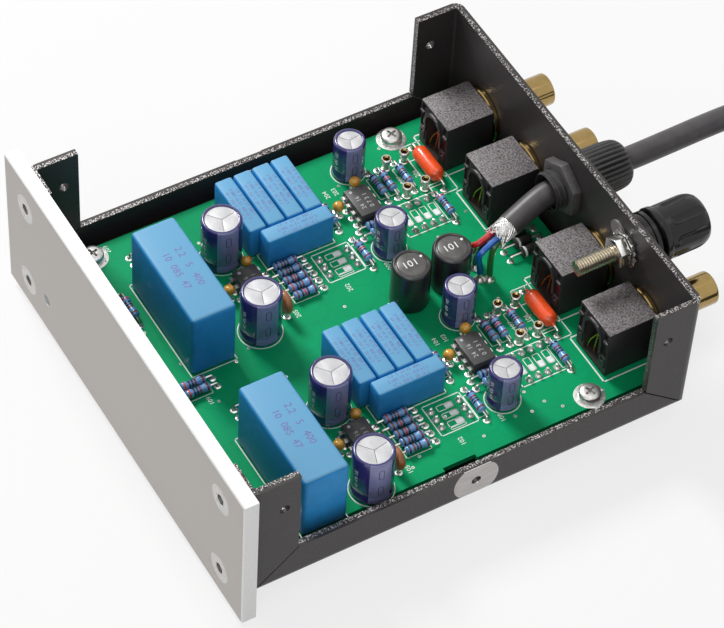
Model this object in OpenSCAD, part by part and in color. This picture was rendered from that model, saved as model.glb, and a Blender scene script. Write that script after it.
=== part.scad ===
// Small two-channel phono preamp with its cover off, on its feet.
// The front plate faces -Y, +X is the right side and +Z is up.
// The origin lies on the table, under the middle of the object without its cable.

/* [Tray] */
// Width of the folded tray
body_w = 108; // [107:0.5:120]
// Depth of the folded tray
body_d = 117.4; // [117:0.2:130]
// Height of the front and rear walls
wall_h = 37; // [36:0.5:45]
// Height of the low side walls
side_h = 10.9; // [9:0.1:12]
// Thickness of the sheet
sheet_t = 1.8; // [1.2:0.1:2]
// Outside radius of the bends
bend_r = 2.5; // [2.2:0.1:3]
// Width of the corner tabs that fold round onto the sides
tab_w = 12.6; // [11:0.1:14]
// Height of the rubber feet
foot_h = 5; // [3:0.5:8]

/* [Front plate] */
// Width of the front plate
plate_w = 115.7; // [112:0.5:130]
// Height of the front plate
plate_h = 42.7; // [42:0.1:50]
// Thickness of the front plate
plate_t = 3.7; // [3.2:0.1:6]
// How far the plate reaches below the tray
plate_drop = 2.75; // [0:0.25:2.75]

/* [Circuit board] */
// Thickness of the board
board_t = 1.6; // [1:0.1:2]
// Height of the standoffs under the board
standoff_h = 3.1; // [2.9:0.1:4]
// Gap between the board and each side wall
board_side_gap = 3.5; // [3:0.1:5]
// Gap between the board and the front wall
board_front_gap = 1; // [0.5:0.1:3]

/* [Phono sockets] */
// Width of a socket's housing
jack_w = 12.4; // [11:0.1:13]
// Depth of a socket's housing
jack_d = 13.3; // [12:0.1:13.4]
// Height of a socket's housing
jack_h = 14.7; // [14:0.1:15.5]
// Height of the socket's axis over the board
jack_axis_h = 7.9; // [7.7:0.1:8.1]
// Diameter of the gold barrel
barrel_d = 8.3; // [8.2:0.05:8.4]
// How far the barrel stands out of the rear wall
barrel_reach = 16.4; // [9:0.2:17]

/* [Ground post] */
// Diameter of the threaded stud
stud_d = 4; // [3:0.5:4]
// Pitch of the stud's thread
stud_pitch = 0.7; // [0.5:0.1:0.8]
// How far the closed knob stands out of the rear wall
post_reach = 18.4; // [16:0.2:20]
// Diameter of the knob
knob_d = 13.4; // [12:0.2:14]

/* [Cable] */
// Diameter of the cable
cable_d = 6; // [5.8:0.1:6]
// Height of the gland over the tray's underside
gland_axis_h = 24.3; // [24:0.1:27]

/* [Hidden] */

$fn = 40;
// One overrun for every cut, and the play of parts that slide in each other
cut_over = 1;
play = 0.05;
seat_gap = 0.1;

// Places of the main levels and faces
front_y = -(plate_t + body_d + post_reach) / 2;
tray_front_y = front_y + plate_t;
rear_y = tray_front_y + body_d;
rear_in_y = rear_y - sheet_t;
mid_y = tray_front_y + body_d / 2;
floor_z = foot_h;
floor_top_z = floor_z + sheet_t;
board_bottom_z = floor_top_z + standoff_h;
board_top_z = board_bottom_z + board_t;
wall_top_z = floor_z + wall_h;
side_top_z = floor_z + side_h;
jack_axis_z = board_top_z + jack_axis_h;
gland_z = floor_z + gland_axis_h;
inside_w = body_w - 2 * sheet_t;
narrow_w = min(body_w, plate_w);

// Tray details
slit_w = 0.3;
slit_end = 1.4;
notch_web = 3.2;
notch_depth = 12;
cover_hole_d = 2.5;
cover_hole_in = 8.7;
cover_hole_down = 9.6;
side_hole_y = 0.5;
side_hole_h = 6.2;
foot_d = 12;
foot_tip_d = 10;
foot_in_x = 11;
foot_in_y = 12;

// Front plate details
plate_chamfer = 0.3;
plate_screw_in = 6.6;
plate_screw_low = 5.5;
plate_screw_down = 6;
low_wall_h = min(wall_h, plate_h - plate_drop);
plate_screw_d = 4;
plate_head_d = 7.6;
plate_head_h = 2.2;
screw_proud = 0.4;
hex_key_d = 2.9;
hex_key_depth = 1.5;
led_in = 16.2;
led_x = led_in - narrow_w / 2;
led_h = 8.25;
led_d = 3;
led_window_d = 3.2;
led_len = 5.3;
led_rim_d = 3.4;
led_rim_t = 0.9;
led_recess = 0.6;
led_lead_t = 0.5;
led_lead_gap = 2;
led_lead_len = 4.4;

// Board details: it follows the tray, and its layout follows the board
board_back = 0.5;
flange_t = 1.3;
jack_axis_y = rear_in_y - flange_t - jack_d;
board_w = inside_w - 2 * board_side_gap;
board_y = tray_front_y + sheet_t + board_front_gap;
board_d = rear_in_y - flange_t - board_back - board_y;
layout_w = 97.4;
layout_d = 98.2;
width_share = board_w / layout_w;
depth_share = (jack_axis_y - board_y) / layout_d;
round_share = min(width_share, depth_share);
hole_pitch = 2.54;
pitch_x = hole_pitch * width_share;
pitch_y = hole_pitch * depth_share;
jack_row_share = 16.654;
channel_in = 26.05;
channel_x = channel_in * width_share;
board_notch_w = 8.6;
board_notch_depth = 1;
board_notch_y = -0.4;
board_screw_d = 3;
board_screw_x_shares = [-18, 18];
board_screw_y_shares = [-18.2, 14.3];
board_head_d = 5.5;
board_head_h = 2;
standoff_d = 6;

// Capacitors: length, width, height over the board
big_film = [31, 11.5, 19.5];
small_film = [18, 4.6, 9.3];
big_film_place_share = [3.1, -14.4];
film_row_share = [-4.4, 1.7];
film_step_share = 2;
film_count = 4;
cross_film_share = [0.2, -0.75];
slim_can_d = 8;
slim_can_h = 11.7;
wide_can_d = 10;
wide_can_h = 14.5;
slim_can_shares = [[-6, 8.45], [4.3, 7.05]];
wide_can_shares = [[-2.05, -7.6], [7.4, -8.6]];
can_groove_h = 2.2;
can_groove_depth = 0.35;
can_rim = 0.5;
choke_d = 9.6;
choke_h = 12.8;
choke_shares = [[0.25, 5.55], [0.25, 9.95]];
choke_ring_w = 0.8;
choke_ring_depth = 0.4;
tube_cap_share = [-2.7, 15.45];
tube_cap_body = [10.4, 4.2];
tube_cap_span = 15.24;
bead_d = 2.8;
bead_lift = 1.2;
bead_leg_pitch = 1.6;
bead_leg_gap = bead_leg_pitch * round_share;
bead_round_share = 0.3;
bead_shares = [[-1.75, 4.9], [-3.77, 7.87], [0.15, -6.1], [2.5, -9.2]];
disc_d = 6;
disc_t = 2.2;
disc_share = [6.6, -5.6];
lead_d = 0.6;
leg_d = 0.7;

// Chips: body length, width and height, legs
chip_body = [9.4, 6.3, 3.2];
chip_lift = 0.5;
chip_leg_w = 0.5;
chip_leg_t = 0.3;
chip_leg_pitch = pitch_x;
chip_row_share = 3;
chip_leg_row = chip_row_share * pitch_y;
chip_notch_d = 1.6;
chip_notch_depth = 0.3;
chip_shares = [[-1.1, 7.28], [2.75, -6.9]];

// Resistors: body length and diameter, waist, lead span, axis height
resistor_body = [6.3, 2.2];
resistor_waist_d = 1.9;
resistor_cap_len = 1.5;
resistor_span = 10.16;
resistor_lift = 1.4;
cross_resistor_shares = [
  [-2.8, 12.85], [-2.8, 11], [-2.8, 9.95], [2.4, 14.4], [3.75, 4.5], [-1.75, 3.9]];
long_resistor_shares = [
  [1.27, 7.5], [2.2, 7.5], [1.65, -2.8], [2.65, -2.8], [3.65, -2.8], [4.65, -2.8],
  [5.65, -2.8], [-6.1, -13.2], [-5.1, -13.2]];
supply_cross_share = [-10.6, -18.1];
supply_long_shares = [[0, -17.2], [1, -17.2]];
diode_body = [4.4, 2.7];
diode_lift = 1.6;
diode_shares = [[-1.6, 18.4], [-0.4, 18.4], [0.8, 18.4]];

// Machined pin sockets
pin_cup_d = 2.6;
pin_cup_h = 1.6;
pin_neck_d = 1.7;
pin_total_h = 4;
pin_hole_d = 1;
pin_socket_shares = [[-4.6, 13.85], [-0.6, 13.85], [-4.6, 11.85], [-0.6, 11.85]];

// Phono sockets
jack_off = 10.3;
jack_off_x = jack_off * width_share;
jack_mouth_d = 8.2;
jack_mouth_depth = 9.4;
flange_d = 15;
barrel_wall = 0.85;
barrel_step = 0.2;
barrel_hole_gap = 0.15;
insulator_in = 1.5;
contact_d = 4.1;
contact_bore_d = 3.3;
contact_in = 3;
contact_tail = 7.5;
contact_leg_w = 1.6;
contact_leg_t = 0.4;

// Cable gland
gland_thread_d = 10;
gland_bore_d = 8.7;
gland_inside = 5.9;
gland_nut_af = 13;
gland_nut_t = 2.5;
gland_flange_af = 12.6;
gland_flange_t = 2.3;
gland_neck = 5.5;
dome_d = 12.8;
dome_end = 14.4;
dome_wall = 0.9;
dome_round = 2.2;
rib_count = 30;
rib_d = 0.7;
seal_len = 4.8;
cable_exit_y = rear_y + dome_end;

// Bent inner end of the cable, with its screen and four wires
inner_run = [2.4, -11.4, -3.3];
inner_bend = [inner_run[0], inner_run[1] * depth_share, inner_run[2]];
bend_over = 0.6;
screen_len = 4;
screen_d = 5.6;
screen_end_d = 5.2;
wire_d = 1.8;
wire_spread = 1.05;
wire_land_shares = [[-1.1, 13.5], [-0.15, 12.95], [1.35, 12.6], [1.75, 13.45]];
wire_start_shares = [[-1, -1], [-1, 1], [1, -1], [1, 1]];
wire_lead = [9, 3, 9, 3];
wire_rise = [9, 4, 9, 4];
wire_square = 0.8;
wire_steps = 12;

// Ground post
post_axis_h = 28.2;
post_z = floor_z + post_axis_h;
stud_inside = 14.3;
stud_out = 14;
post_hole_gap = 0.2;
nut_af = 7;
nut_t = 2.8;
tooth_washer_d = 9.6;
tooth_washer_t = 0.7;
tooth_count = 12;
tag_t = 0.5;
tag_w = 5;
tag_len = 7.2;
tag_angle = 155;
base_washer_d = 11.6;
base_washer_t = 1;
collar_d = 13.6;
collar_len = 3.2;
collar_lip = 0.6;
insert_d = 6.4;
insert_len = 10;
knob_skirt_len = 1.8;
knob_skirt_d = 14;
knob_round = 1.6;
flute_count = 8;
flute_d = 3.4;
flute_depth = 0.7;
flute_land = 2.4;

// Switch banks under the board, reached through the tray's floor
dip_pitch = 2.54;
dip_w = 9.9;
dip_end = 2;
dip_recess = 0.6;
dip_gap = 0.4;
impedance_count = 4;
gain_count = 3;
impedance_share = [2.05, 11.9];
gain_share = [3.55, 1.93];
slot_len = 3.9;
slider_tip = [1.7, 1.2];
slider_foot = [1.7, 1.9, 0.9];
slider_h = 2.2;
slider_proud = 0.4;
slider_gap = 0.1;

// Cable from the gland to its coil: the points past its square start
cable_route = [
  [0, 80, 29.5], [0, 88, 29.7], [0, 96, 29.6], [0, 102, 28.9],
  [0, 107.5, 27.2], [0, 112.5, 24.2], [0, 116.5, 20.5], [0, 119.5, 16.6],
  [0, 122.5, 12.8], [0, 126.5, 9], [0, 131, 6.3], [0, 136, 4.6], [0, 141.5, 4],
  [0, 146, 4]];
route_from_y = 65.75;
route_shift = [0, cable_exit_y - route_from_y, 0];
cable_points = concat(
  [[0, cable_exit_y, gland_z], [0, cable_exit_y + cable_d, gland_z]],
  [for (point = cable_route) point + route_shift]);
cable_sides = 8;
coil_turns = 4.5;
coil_out_r = 41;
coil_pitch = 6.65;
coil_layer = 6.5;
coil_rings = 24;
coil_sides = 6;
coil_start = cable_points[len(cable_points) - 1];
coil_centre = [coil_start[0] + coil_out_r, coil_start[1] + cable_d];
coil_in_r = coil_out_r - coil_pitch * coil_turns / 2;
tie_t = 0.7;
tie_w = 12;
tie_gap = 0.3;
plug_z = coil_start[2] + coil_layer;
plug_body_d = 18.6;
plug_body_len = 36;
plug_ring_len = 6;
plug_boot_len = 20;
plug_boot_d = 7.4;
plug_boot_end_d = 12;
plug_nose_d = 16;
plug_nose_len = 5;
plug_contacts = 4;
plug_contact_d = 2.2;
plug_contact_ring = 9;
plug_contact_depth = 4;

// Points of the coil: in by one layer, a climb in half a turn, out by the next
function coil_r(t) = coil_in_r + coil_pitch * abs(t - coil_turns / 2);
function coil_climb(t) = min(1, max(0, 2 * (t - coil_turns / 2) + 0.5));
function coil_z(t) = coil_start[2] + coil_layer * (1 - cos(180 * coil_climb(t))) / 2;
function coil_point(t) = [
  coil_centre[0] + coil_r(t) * cos(180 - 360 * t),
  coil_centre[1] + coil_r(t) * sin(180 - 360 * t),
  coil_z(t)];
coil_path = concat(
  [coil_start],
  [for (k = [0 : coil_turns * coil_rings]) coil_point(k / coil_rings)],
  [coil_point(coil_turns) - [0, cable_d, 0]]);
coil_gaps = [
  for (i = [0 : len(coil_path) - 1], j = [i + coil_rings / 2 : len(coil_path) - 1])
    norm(coil_path[i] - coil_path[j])];
echo(least_gap_between_coil_turns = min(coil_gaps) - cable_d);

// A tube of flat rings swept along points, square to the path at each of them
function unit(v) = v / norm(v);
function along(points, k) =
  k == 0 ? unit(points[1] - points[0])
  : k == len(points) - 1 ? unit(points[k] - points[k - 1])
  : unit(unit(points[k + 1] - points[k]) + unit(points[k] - points[k - 1]));
function tube_points(points, r, sides, up) = [
  for (k = [0 : len(points) - 1], s = [0 : sides - 1])
    let (d = along(points, k), e = unit(cross(d, up)), n = cross(e, d))
      points[k] + r * (cos(360 * (s + 0.5) / sides) * e + sin(360 * (s + 0.5) / sides) * n)];
function tube_faces(rings, sides) = concat(
  [for (s = [0 : sides - 1], k = [0 : rings - 2])
    [k * sides + s, k * sides + (s + 1) % sides, (k + 1) * sides + (s + 1) % sides]],
  [for (s = [0 : sides - 1], k = [0 : rings - 2])
    [k * sides + s, (k + 1) * sides + (s + 1) % sides, (k + 1) * sides + s]],
  [for (s = [1 : sides - 2]) [0, s + 1, s]],
  [for (s = [1 : sides - 2]) [(rings - 1) * sides, (rings - 1) * sides + s,
    (rings - 1) * sides + s + 1]]);
module tube(points, r, sides, up = [0, 0, 1]) {
  polyhedron(tube_points(points, r, sides, up), tube_faces(len(points), sides));
}

// Helpers for places, given in steps of the board's hole pitch
function board_x(share) = share * pitch_x;
function board_along(share) = jack_axis_y + (share - jack_row_share) * pitch_y;
module on_board(place) {
  translate([board_x(place[0]), board_along(place[1]), board_top_z]) children();
}
module under_board(place) {
  translate([board_x(place[0]), board_along(place[1]), board_bottom_z]) children();
}
module channel(side) {
  translate([side * channel_x, 0, 0]) children();
}
module both_channels() {
  for (side = [-1, 1]) channel(side) children();
}
// Stands a shape made along +Z along +Y instead
module along_y(x, y, z) {
  translate([x, y, z]) rotate([-90, 0, 0]) children();
}

// Rounded rectangle with its middle at the origin
module rounded_outline(w, d, r) {
  square([w - 2 * r, d], center = true);
  square([w, d - 2 * r], center = true);
  for (sx = [-1, 1], sy = [-1, 1]) translate([sx * (w / 2 - r), sy * (d / 2 - r)]) circle(r);
}
// Block with rounded upright corners and bottom edges, standing on z = 0
module folded_block(w, d, h, r) {
  intersection() {
    linear_extrude(h) rounded_outline(w, d, r);
    rotate([90, 0, 0]) linear_extrude(d, center = true)
      translate([0, h]) rounded_outline(w, 2 * h, r);
    rotate([90, 0, 90]) linear_extrude(w, center = true)
      translate([0, h]) rounded_outline(d, 2 * h, r);
  }
}

// Screw places of the front plate, as seen from the front
module at_plate_screws() {
  for (sx = [-1, 1], h = [plate_screw_low, low_wall_h - plate_screw_down])
    translate([sx * (narrow_w / 2 - plate_screw_in), 0, floor_z + h]) children();
}
module at_jacks() {
  both_channels() for (sx = [-1, 1]) translate([sx * jack_off_x, 0, jack_axis_z]) children();
}
module at_board_screws() {
  for (x = board_screw_x_shares, y = board_screw_y_shares)
    translate([board_x(x), board_along(y), 0]) children();
}
module at_feet() {
  for (sx = [-1, 1], sy = [-1, 1])
    translate([sx * (body_w / 2 - foot_in_x), mid_y + sy * (body_d / 2 - foot_in_y), 0]) children();
}

// Case
module chassis_tray() {
  window_d = body_d - 2 * tab_w;
  notch_w = narrow_w - 2 * plate_screw_in - 2 * notch_web;
  slit_run = norm([tab_w, side_h]);
  slit_tilt = atan2(side_h, tab_w);
  color([0.17, 0.16, 0.16]) difference() {
    translate([0, mid_y, floor_z]) folded_block(body_w, body_d, wall_h, bend_r);
    translate([0, mid_y, floor_top_z])
      folded_block(inside_w, body_d - 2 * sheet_t, wall_h, bend_r - sheet_t);
    // Windows over the low side walls
    translate([-body_w / 2 - cut_over, mid_y - window_d / 2, side_top_z])
      cube([body_w + 2 * cut_over, window_d, wall_h]);
    // Notch in the front wall, behind the plate
    translate([-notch_w / 2, tray_front_y - cut_over, wall_top_z - notch_depth])
      cube([notch_w, sheet_t + 2 * cut_over, notch_depth + cut_over]);
    // Mitred slits where each tab meets the side wall
    for (sx = [-1, 1], sy = [-1, 1])
      translate([sx * (body_w / 2 - sheet_t / 2), mid_y + sy * window_d / 2, side_top_z])
        rotate([-sy * slit_tilt, 0, 0])
          translate([-sheet_t / 2 - cut_over / 2, sy > 0 ? -slit_w : slit_end - slit_run, -slit_w / 2])
            cube([sheet_t + cut_over, slit_run - slit_end + slit_w, slit_w]);
    // Screw holes and lamp hole of the front wall
    at_plate_screws() along_y(0, tray_front_y - cut_over, 0)
      cylinder(h = sheet_t + 2 * cut_over, d = plate_screw_d);
    along_y(led_x, tray_front_y - cut_over, floor_z + led_h)
      cylinder(h = sheet_t + 2 * cut_over, d = led_rim_d + 2 * seat_gap);
    // Rear wall
    at_jacks() along_y(0, rear_in_y - cut_over, 0)
      cylinder(h = sheet_t + 2 * cut_over, d = barrel_d + 2 * barrel_hole_gap);
    along_y(0, rear_in_y - cut_over, gland_z)
      cylinder(h = sheet_t + 2 * cut_over, d = gland_thread_d + 2 * play);
    along_y(channel_x, rear_in_y - cut_over, post_z)
      cylinder(h = sheet_t + 2 * cut_over, d = stud_d + 2 * post_hole_gap);
    // Threaded holes for the cover's screws
    for (sx = [-1, 1]) {
      for (sy = [-1, 1])
        translate([sx * (body_w / 2 - sheet_t / 2), mid_y + sy * (body_d / 2 - cover_hole_in),
          wall_top_z - cover_hole_down])
          rotate([0, 90, 0]) cylinder(h = sheet_t + 2 * cut_over, d = cover_hole_d, center = true);
      translate([sx * (body_w / 2 - sheet_t / 2), mid_y + side_hole_y, floor_z + side_hole_h])
        rotate([0, 90, 0]) cylinder(h = sheet_t + 2 * cut_over, d = cover_hole_d, center = true);
    }
    // Windows for the switch banks
    both_channels() {
      switch_window(impedance_share, [dip_w, dip_length(impedance_count)]);
      switch_window(gain_share, [dip_length(gain_count), dip_w]);
    }
  }
}
module switch_window(place, size) {
  translate([board_x(place[0]), board_along(place[1]), floor_z + sheet_t / 2])
    cube([size[0] + 2 * dip_gap, size[1] + 2 * dip_gap, sheet_t + 2 * cut_over], center = true);
}
module front_plate() {
  c = plate_chamfer;
  plate_z = floor_z - plate_drop;
  color([0.68, 0.65, 0.62]) difference() {
    intersection() {
      translate([0, front_y, plate_z]) linear_extrude(plate_h)
        polygon([[-plate_w / 2 + c, 0], [plate_w / 2 - c, 0], [plate_w / 2, c],
          [plate_w / 2, plate_t], [-plate_w / 2, plate_t], [-plate_w / 2, c]]);
      translate([0, front_y, plate_z]) rotate([90, 0, 90]) linear_extrude(plate_w, center = true)
        polygon([[0, c], [c, 0], [plate_t, 0], [plate_t, plate_h], [c, plate_h],
          [0, plate_h - c]]);
    }
    at_plate_screws() {
      along_y(0, front_y - cut_over, 0) cylinder(h = plate_t + 2 * cut_over, d = plate_screw_d + 2 * play);
      along_y(0, front_y - play, 0)
        cylinder(h = plate_head_h + play, d1 = plate_head_d + 2 * play, d2 = plate_screw_d + 2 * play);
    }
    along_y(led_x, front_y - cut_over, floor_z + led_h)
      cylinder(h = plate_t + 2 * cut_over, d = led_window_d);
  }
}
module front_plate_screws() {
  color([0.8, 0.79, 0.77]) at_plate_screws() along_y(0, front_y, 0) difference() {
    union() {
      cylinder(h = plate_head_h, d1 = plate_head_d, d2 = plate_screw_d);
      cylinder(h = plate_t + sheet_t + screw_proud, d = plate_screw_d - 2 * play);
    }
    translate([0, 0, -cut_over]) cylinder(h = hex_key_depth + cut_over, d = hex_key_d, $fn = 6);
  }
}
module power_led() {
  led_y = front_y + led_recess;
  rim_y = led_y + led_len;
  color([0.85, 0.9, 0.95]) union() {
    along_y(led_x, led_y + led_d / 2, floor_z + led_h)
      cylinder(h = led_len - led_d / 2 + led_rim_t, d = led_d);
    translate([led_x, led_y + led_d / 2, floor_z + led_h]) sphere(d = led_d);
    along_y(led_x, rim_y, floor_z + led_h) cylinder(h = led_rim_t, d = led_rim_d);
    for (sx = [-1, 1]) translate([led_x + sx * led_lead_gap / 2 - led_lead_t / 2, rim_y, 0]) {
      translate([0, 0, floor_z + led_h - led_lead_t / 2])
        cube([led_lead_t, led_rim_t + led_lead_len, led_lead_t]);
      translate([0, led_rim_t + led_lead_len - led_lead_t, board_top_z])
        cube([led_lead_t, led_lead_t, floor_z + led_h - board_top_z]);
    }
  }
}
module rubber_feet() {
  color([0.08, 0.08, 0.08]) at_feet() cylinder(h = foot_h, d1 = foot_tip_d, d2 = foot_d);
}

// Board
module board_standoffs() {
  color([0.75, 0.75, 0.75]) at_board_screws() difference() {
    translate([0, 0, floor_top_z]) cylinder(h = standoff_h, d = standoff_d);
    translate([0, 0, floor_top_z - cut_over]) cylinder(h = standoff_h + 2 * cut_over, d = board_screw_d);
  }
}
module circuit_board() {
  color([0.05, 0.55, 0.33]) difference() {
    translate([-board_w / 2, board_y, board_bottom_z]) cube([board_w, board_d, board_t]);
    for (sx = [-1, 1]) translate([sx * board_w / 2, mid_y + board_notch_y, board_bottom_z + board_t / 2])
      cube([2 * board_notch_depth, board_notch_w, board_t + 2 * cut_over], center = true);
    at_board_screws() translate([0, 0, board_bottom_z - cut_over])
      cylinder(h = board_t + 2 * cut_over, d = board_screw_d + 2 * play);
  }
}
module board_screws() {
  color([0.75, 0.75, 0.75]) at_board_screws() {
    translate([0, 0, floor_top_z]) cylinder(h = board_top_z - floor_top_z, d = board_screw_d - 2 * play);
    translate([0, 0, board_top_z]) cylinder(h = board_head_h, d = board_head_d);
  }
}

// Capacitors and chokes
module film_box(size, along_share, across_share) {
  w = size[0] * along_share;
  d = size[1] * across_share;
  translate([-w / 2, -d / 2, 0]) cube([w, d, size[2]]);
}
module big_film_capacitors() {
  color([0.2, 0.5, 0.72]) both_channels() on_board(big_film_place_share)
    film_box(big_film, width_share, depth_share);
}
module film_capacitors(side) {
  color([0.35, 0.62, 0.8]) channel(side) {
    for (k = [0 : film_count - 1])
      on_board([film_row_share[0], film_row_share[1] - k * film_step_share])
        film_box(small_film, width_share, depth_share);
    on_board(cross_film_share) rotate([0, 0, 90])
      film_box(small_film, depth_share, width_share);
  }
}
module can(d, h) {
  g = can_groove_depth;
  rotate_extrude() polygon([
    [0, 0], [d / 2, 0], [d / 2, can_groove_h], [d / 2 - g, can_groove_h + g],
    [d / 2, can_groove_h + 2 * g], [d / 2, h - can_rim], [d / 2 - can_rim, h],
    [d / 2 - 2 * can_rim, h - can_rim / 2], [0, h - can_rim / 2]]);
}
module electrolytics(side) {
  color([0.2, 0.19, 0.5]) channel(side) {
    for (place = slim_can_shares) on_board(place) can(slim_can_d * round_share, slim_can_h);
    for (place = wide_can_shares) on_board(place) can(wide_can_d * round_share, wide_can_h);
  }
}
module supply_chokes() {
  w = choke_ring_w;
  r = choke_d * round_share / 2;
  color([0.1, 0.1, 0.11]) for (place = choke_shares) on_board(place) rotate_extrude() polygon([
    [0, 0], [r, 0], [r, choke_h - w / 2], [r - w / 2, choke_h], [r - w, choke_h],
    [r - w, choke_h - choke_ring_depth], [r - 2 * w, choke_h - choke_ring_depth],
    [r - 2 * w, choke_h], [0, choke_h]]);
}
// Two legs down to the board from a lead along X at the given height
module bent_leads(span, height) {
  translate([-span / 2, 0, height]) rotate([0, 90, 0]) cylinder(h = span, d = lead_d);
  for (sx = [-1, 1]) translate([sx * span / 2, 0, 0]) cylinder(h = height + leg_d / 2, d = leg_d);
}
module tubular_capacitors() {
  d = tube_cap_body[1] * round_share;
  h = tube_cap_body[0] * width_share;
  color([0.95, 0.35, 0.12]) both_channels() on_board(tube_cap_share) {
    translate([-h / 2, 0, d / 2]) rotate([0, 90, 0]) cylinder(h = h, d = d);
    bent_leads(tube_cap_span * width_share, d / 2);
  }
}
module ceramic_capacitors() {
  d = bead_d * round_share;
  r = d / 2;
  edge = d * bead_round_share;
  t = disc_t * depth_share;
  color([0.9, 0.6, 0.1]) both_channels() {
    for (place = bead_shares) on_board(place) {
      translate([0, 0, bead_lift]) rotate_extrude() polygon([
        [0, 0], [r - edge, 0], [r, edge], [r, d - edge], [r - edge, d], [0, d]]);
      for (sx = [-1, 1]) translate([sx * bead_leg_gap / 2, 0, 0])
        cylinder(h = bead_lift + r, d = lead_d);
    }
    on_board(disc_share) {
      translate([0, t / 2, bead_lift + disc_d / 2]) rotate([90, 0, 0])
        cylinder(h = t, d = disc_d);
      for (sx = [-1, 1]) translate([sx * pitch_x / 2, 0, 0])
        cylinder(h = bead_lift + disc_d / 2, d = leg_d);
    }
  }
}

// Chips
module chip() {
  w = chip_body[0] * width_share;
  d = chip_body[1] * depth_share;
  h = chip_body[2];
  leg_drop = chip_lift + h / 2;
  leg_run = chip_leg_row - d;
  difference() {
    translate([-w / 2, -d / 2, chip_lift]) cube([w, d, h]);
    translate([-w / 2, 0, chip_lift + h - chip_notch_depth])
      cylinder(h = chip_notch_depth + cut_over, d = chip_notch_d);
  }
  for (sy = [-1, 1], k = [0 : 3])
    translate([(k - 1.5) * chip_leg_pitch - chip_leg_w / 2, sy * chip_leg_row / 2 - chip_leg_t / 2, 0]) {
      cube([chip_leg_w, chip_leg_t, leg_drop]);
      translate([0, sy > 0 ? chip_leg_t - leg_run : 0, leg_drop - chip_leg_t])
        cube([chip_leg_w, leg_run, chip_leg_t]);
    }
}
module signal_chips() {
  color([0.15, 0.14, 0.14]) both_channels() for (place = chip_shares) on_board(place) chip();
}

// Resistors and diodes, made along X
module resistor(along_share) {
  w = resistor_body[0] * along_share;
  cap_w = resistor_cap_len * along_share;
  translate([-w / 2, 0, resistor_lift]) rotate([0, 90, 0])
    cylinder(h = w, d = resistor_waist_d * round_share);
  for (sx = [-1, 1]) translate([sx * (w - cap_w) / 2, 0, resistor_lift])
    rotate([0, 90, 0]) cylinder(h = cap_w, d = resistor_body[1] * round_share, center = true);
  bent_leads(resistor_span * along_share, resistor_lift);
}
module resistors(side) {
  color([0.35, 0.58, 0.75]) {
    channel(side) {
      for (place = cross_resistor_shares) on_board(place) resistor(width_share);
      for (place = long_resistor_shares) on_board(place) rotate([0, 0, 90]) resistor(depth_share);
    }
    if (side < 0) on_board(supply_cross_share) resistor(width_share);
    else for (place = supply_long_shares) on_board(place) rotate([0, 0, 90]) resistor(depth_share);
  }
}
module supply_diodes() {
  w = diode_body[0] * depth_share;
  color([0.12, 0.12, 0.12]) for (place = diode_shares) on_board(place) rotate([0, 0, 90]) {
    translate([-w / 2, 0, diode_lift]) rotate([0, 90, 0])
      cylinder(h = w, d = diode_body[1] * round_share);
    bent_leads(resistor_span * depth_share, diode_lift);
  }
}
module pin_sockets() {
  color([0.85, 0.8, 0.65]) both_channels() for (place = pin_socket_shares) on_board(place)
    difference() {
      union() {
        cylinder(h = pin_total_h, d = pin_neck_d);
        translate([0, 0, pin_total_h - pin_cup_h]) cylinder(h = pin_cup_h, d = pin_cup_d);
      }
      translate([0, 0, pin_total_h / 2]) cylinder(h = pin_total_h, d = pin_hole_d);
    }
}

// Phono sockets
module jack_housing(side, place) {
  color([0.2, 0.19, 0.19]) translate([side * channel_x + place * jack_off_x, jack_axis_y, 0])
    difference() {
      translate([-jack_w / 2, 0, board_top_z]) cube([jack_w, jack_d, jack_h]);
      along_y(0, -cut_over, jack_axis_z)
        cylinder(h = jack_mouth_depth + cut_over, d = jack_mouth_d);
      along_y(0, 0, jack_axis_z) cylinder(h = jack_d + cut_over, d = contact_d + 2 * play);
      // Slot that lets the contact's leg down to the board
      translate([-contact_leg_w / 2 - seat_gap, contact_tail - contact_leg_w, board_top_z - cut_over])
        cube([contact_leg_w + 2 * seat_gap, 2 * contact_leg_w, jack_axis_h + cut_over]);
    }
}
module socket_shells() {
  shank_len = flange_t + sheet_t;
  shell_len = shank_len + barrel_reach;
  color([0.85, 0.66, 0.28]) at_jacks() along_y(0, rear_in_y - flange_t, 0) difference() {
    union() {
      cylinder(h = flange_t, d = flange_d);
      cylinder(h = shell_len, d = barrel_d - 2 * barrel_step);
      translate([0, 0, shank_len]) cylinder(h = barrel_reach, d = barrel_d);
    }
    translate([0, 0, -cut_over]) cylinder(h = shell_len + 2 * cut_over, d = barrel_d - 2 * barrel_wall);
  }
}
module socket_insulators() {
  ring_len = flange_t + sheet_t + barrel_reach - insulator_in;
  color([0.92, 0.92, 0.9]) at_jacks() along_y(0, rear_in_y - flange_t, 0) difference() {
    cylinder(h = ring_len, d = barrel_d - 2 * barrel_wall - 2 * play);
    translate([0, 0, -cut_over]) cylinder(h = ring_len + 2 * cut_over, d = contact_d + 2 * play);
  }
}
module socket_contacts() {
  tail_y = jack_axis_y + contact_tail;
  contact_len = rear_y + barrel_reach - contact_in - tail_y;
  leg_x = contact_leg_w / 2;
  color([0.85, 0.6, 0.2]) at_jacks() {
    along_y(0, tail_y, 0) difference() {
      cylinder(h = contact_len, d = contact_d);
      translate([0, 0, contact_leg_t + play]) cylinder(h = contact_len, d = contact_bore_d);
    }
    translate([-leg_x, tail_y - contact_leg_t, -jack_axis_h])
      cube([contact_leg_w, contact_leg_t, jack_axis_h + leg_x]);
  }
}

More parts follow.
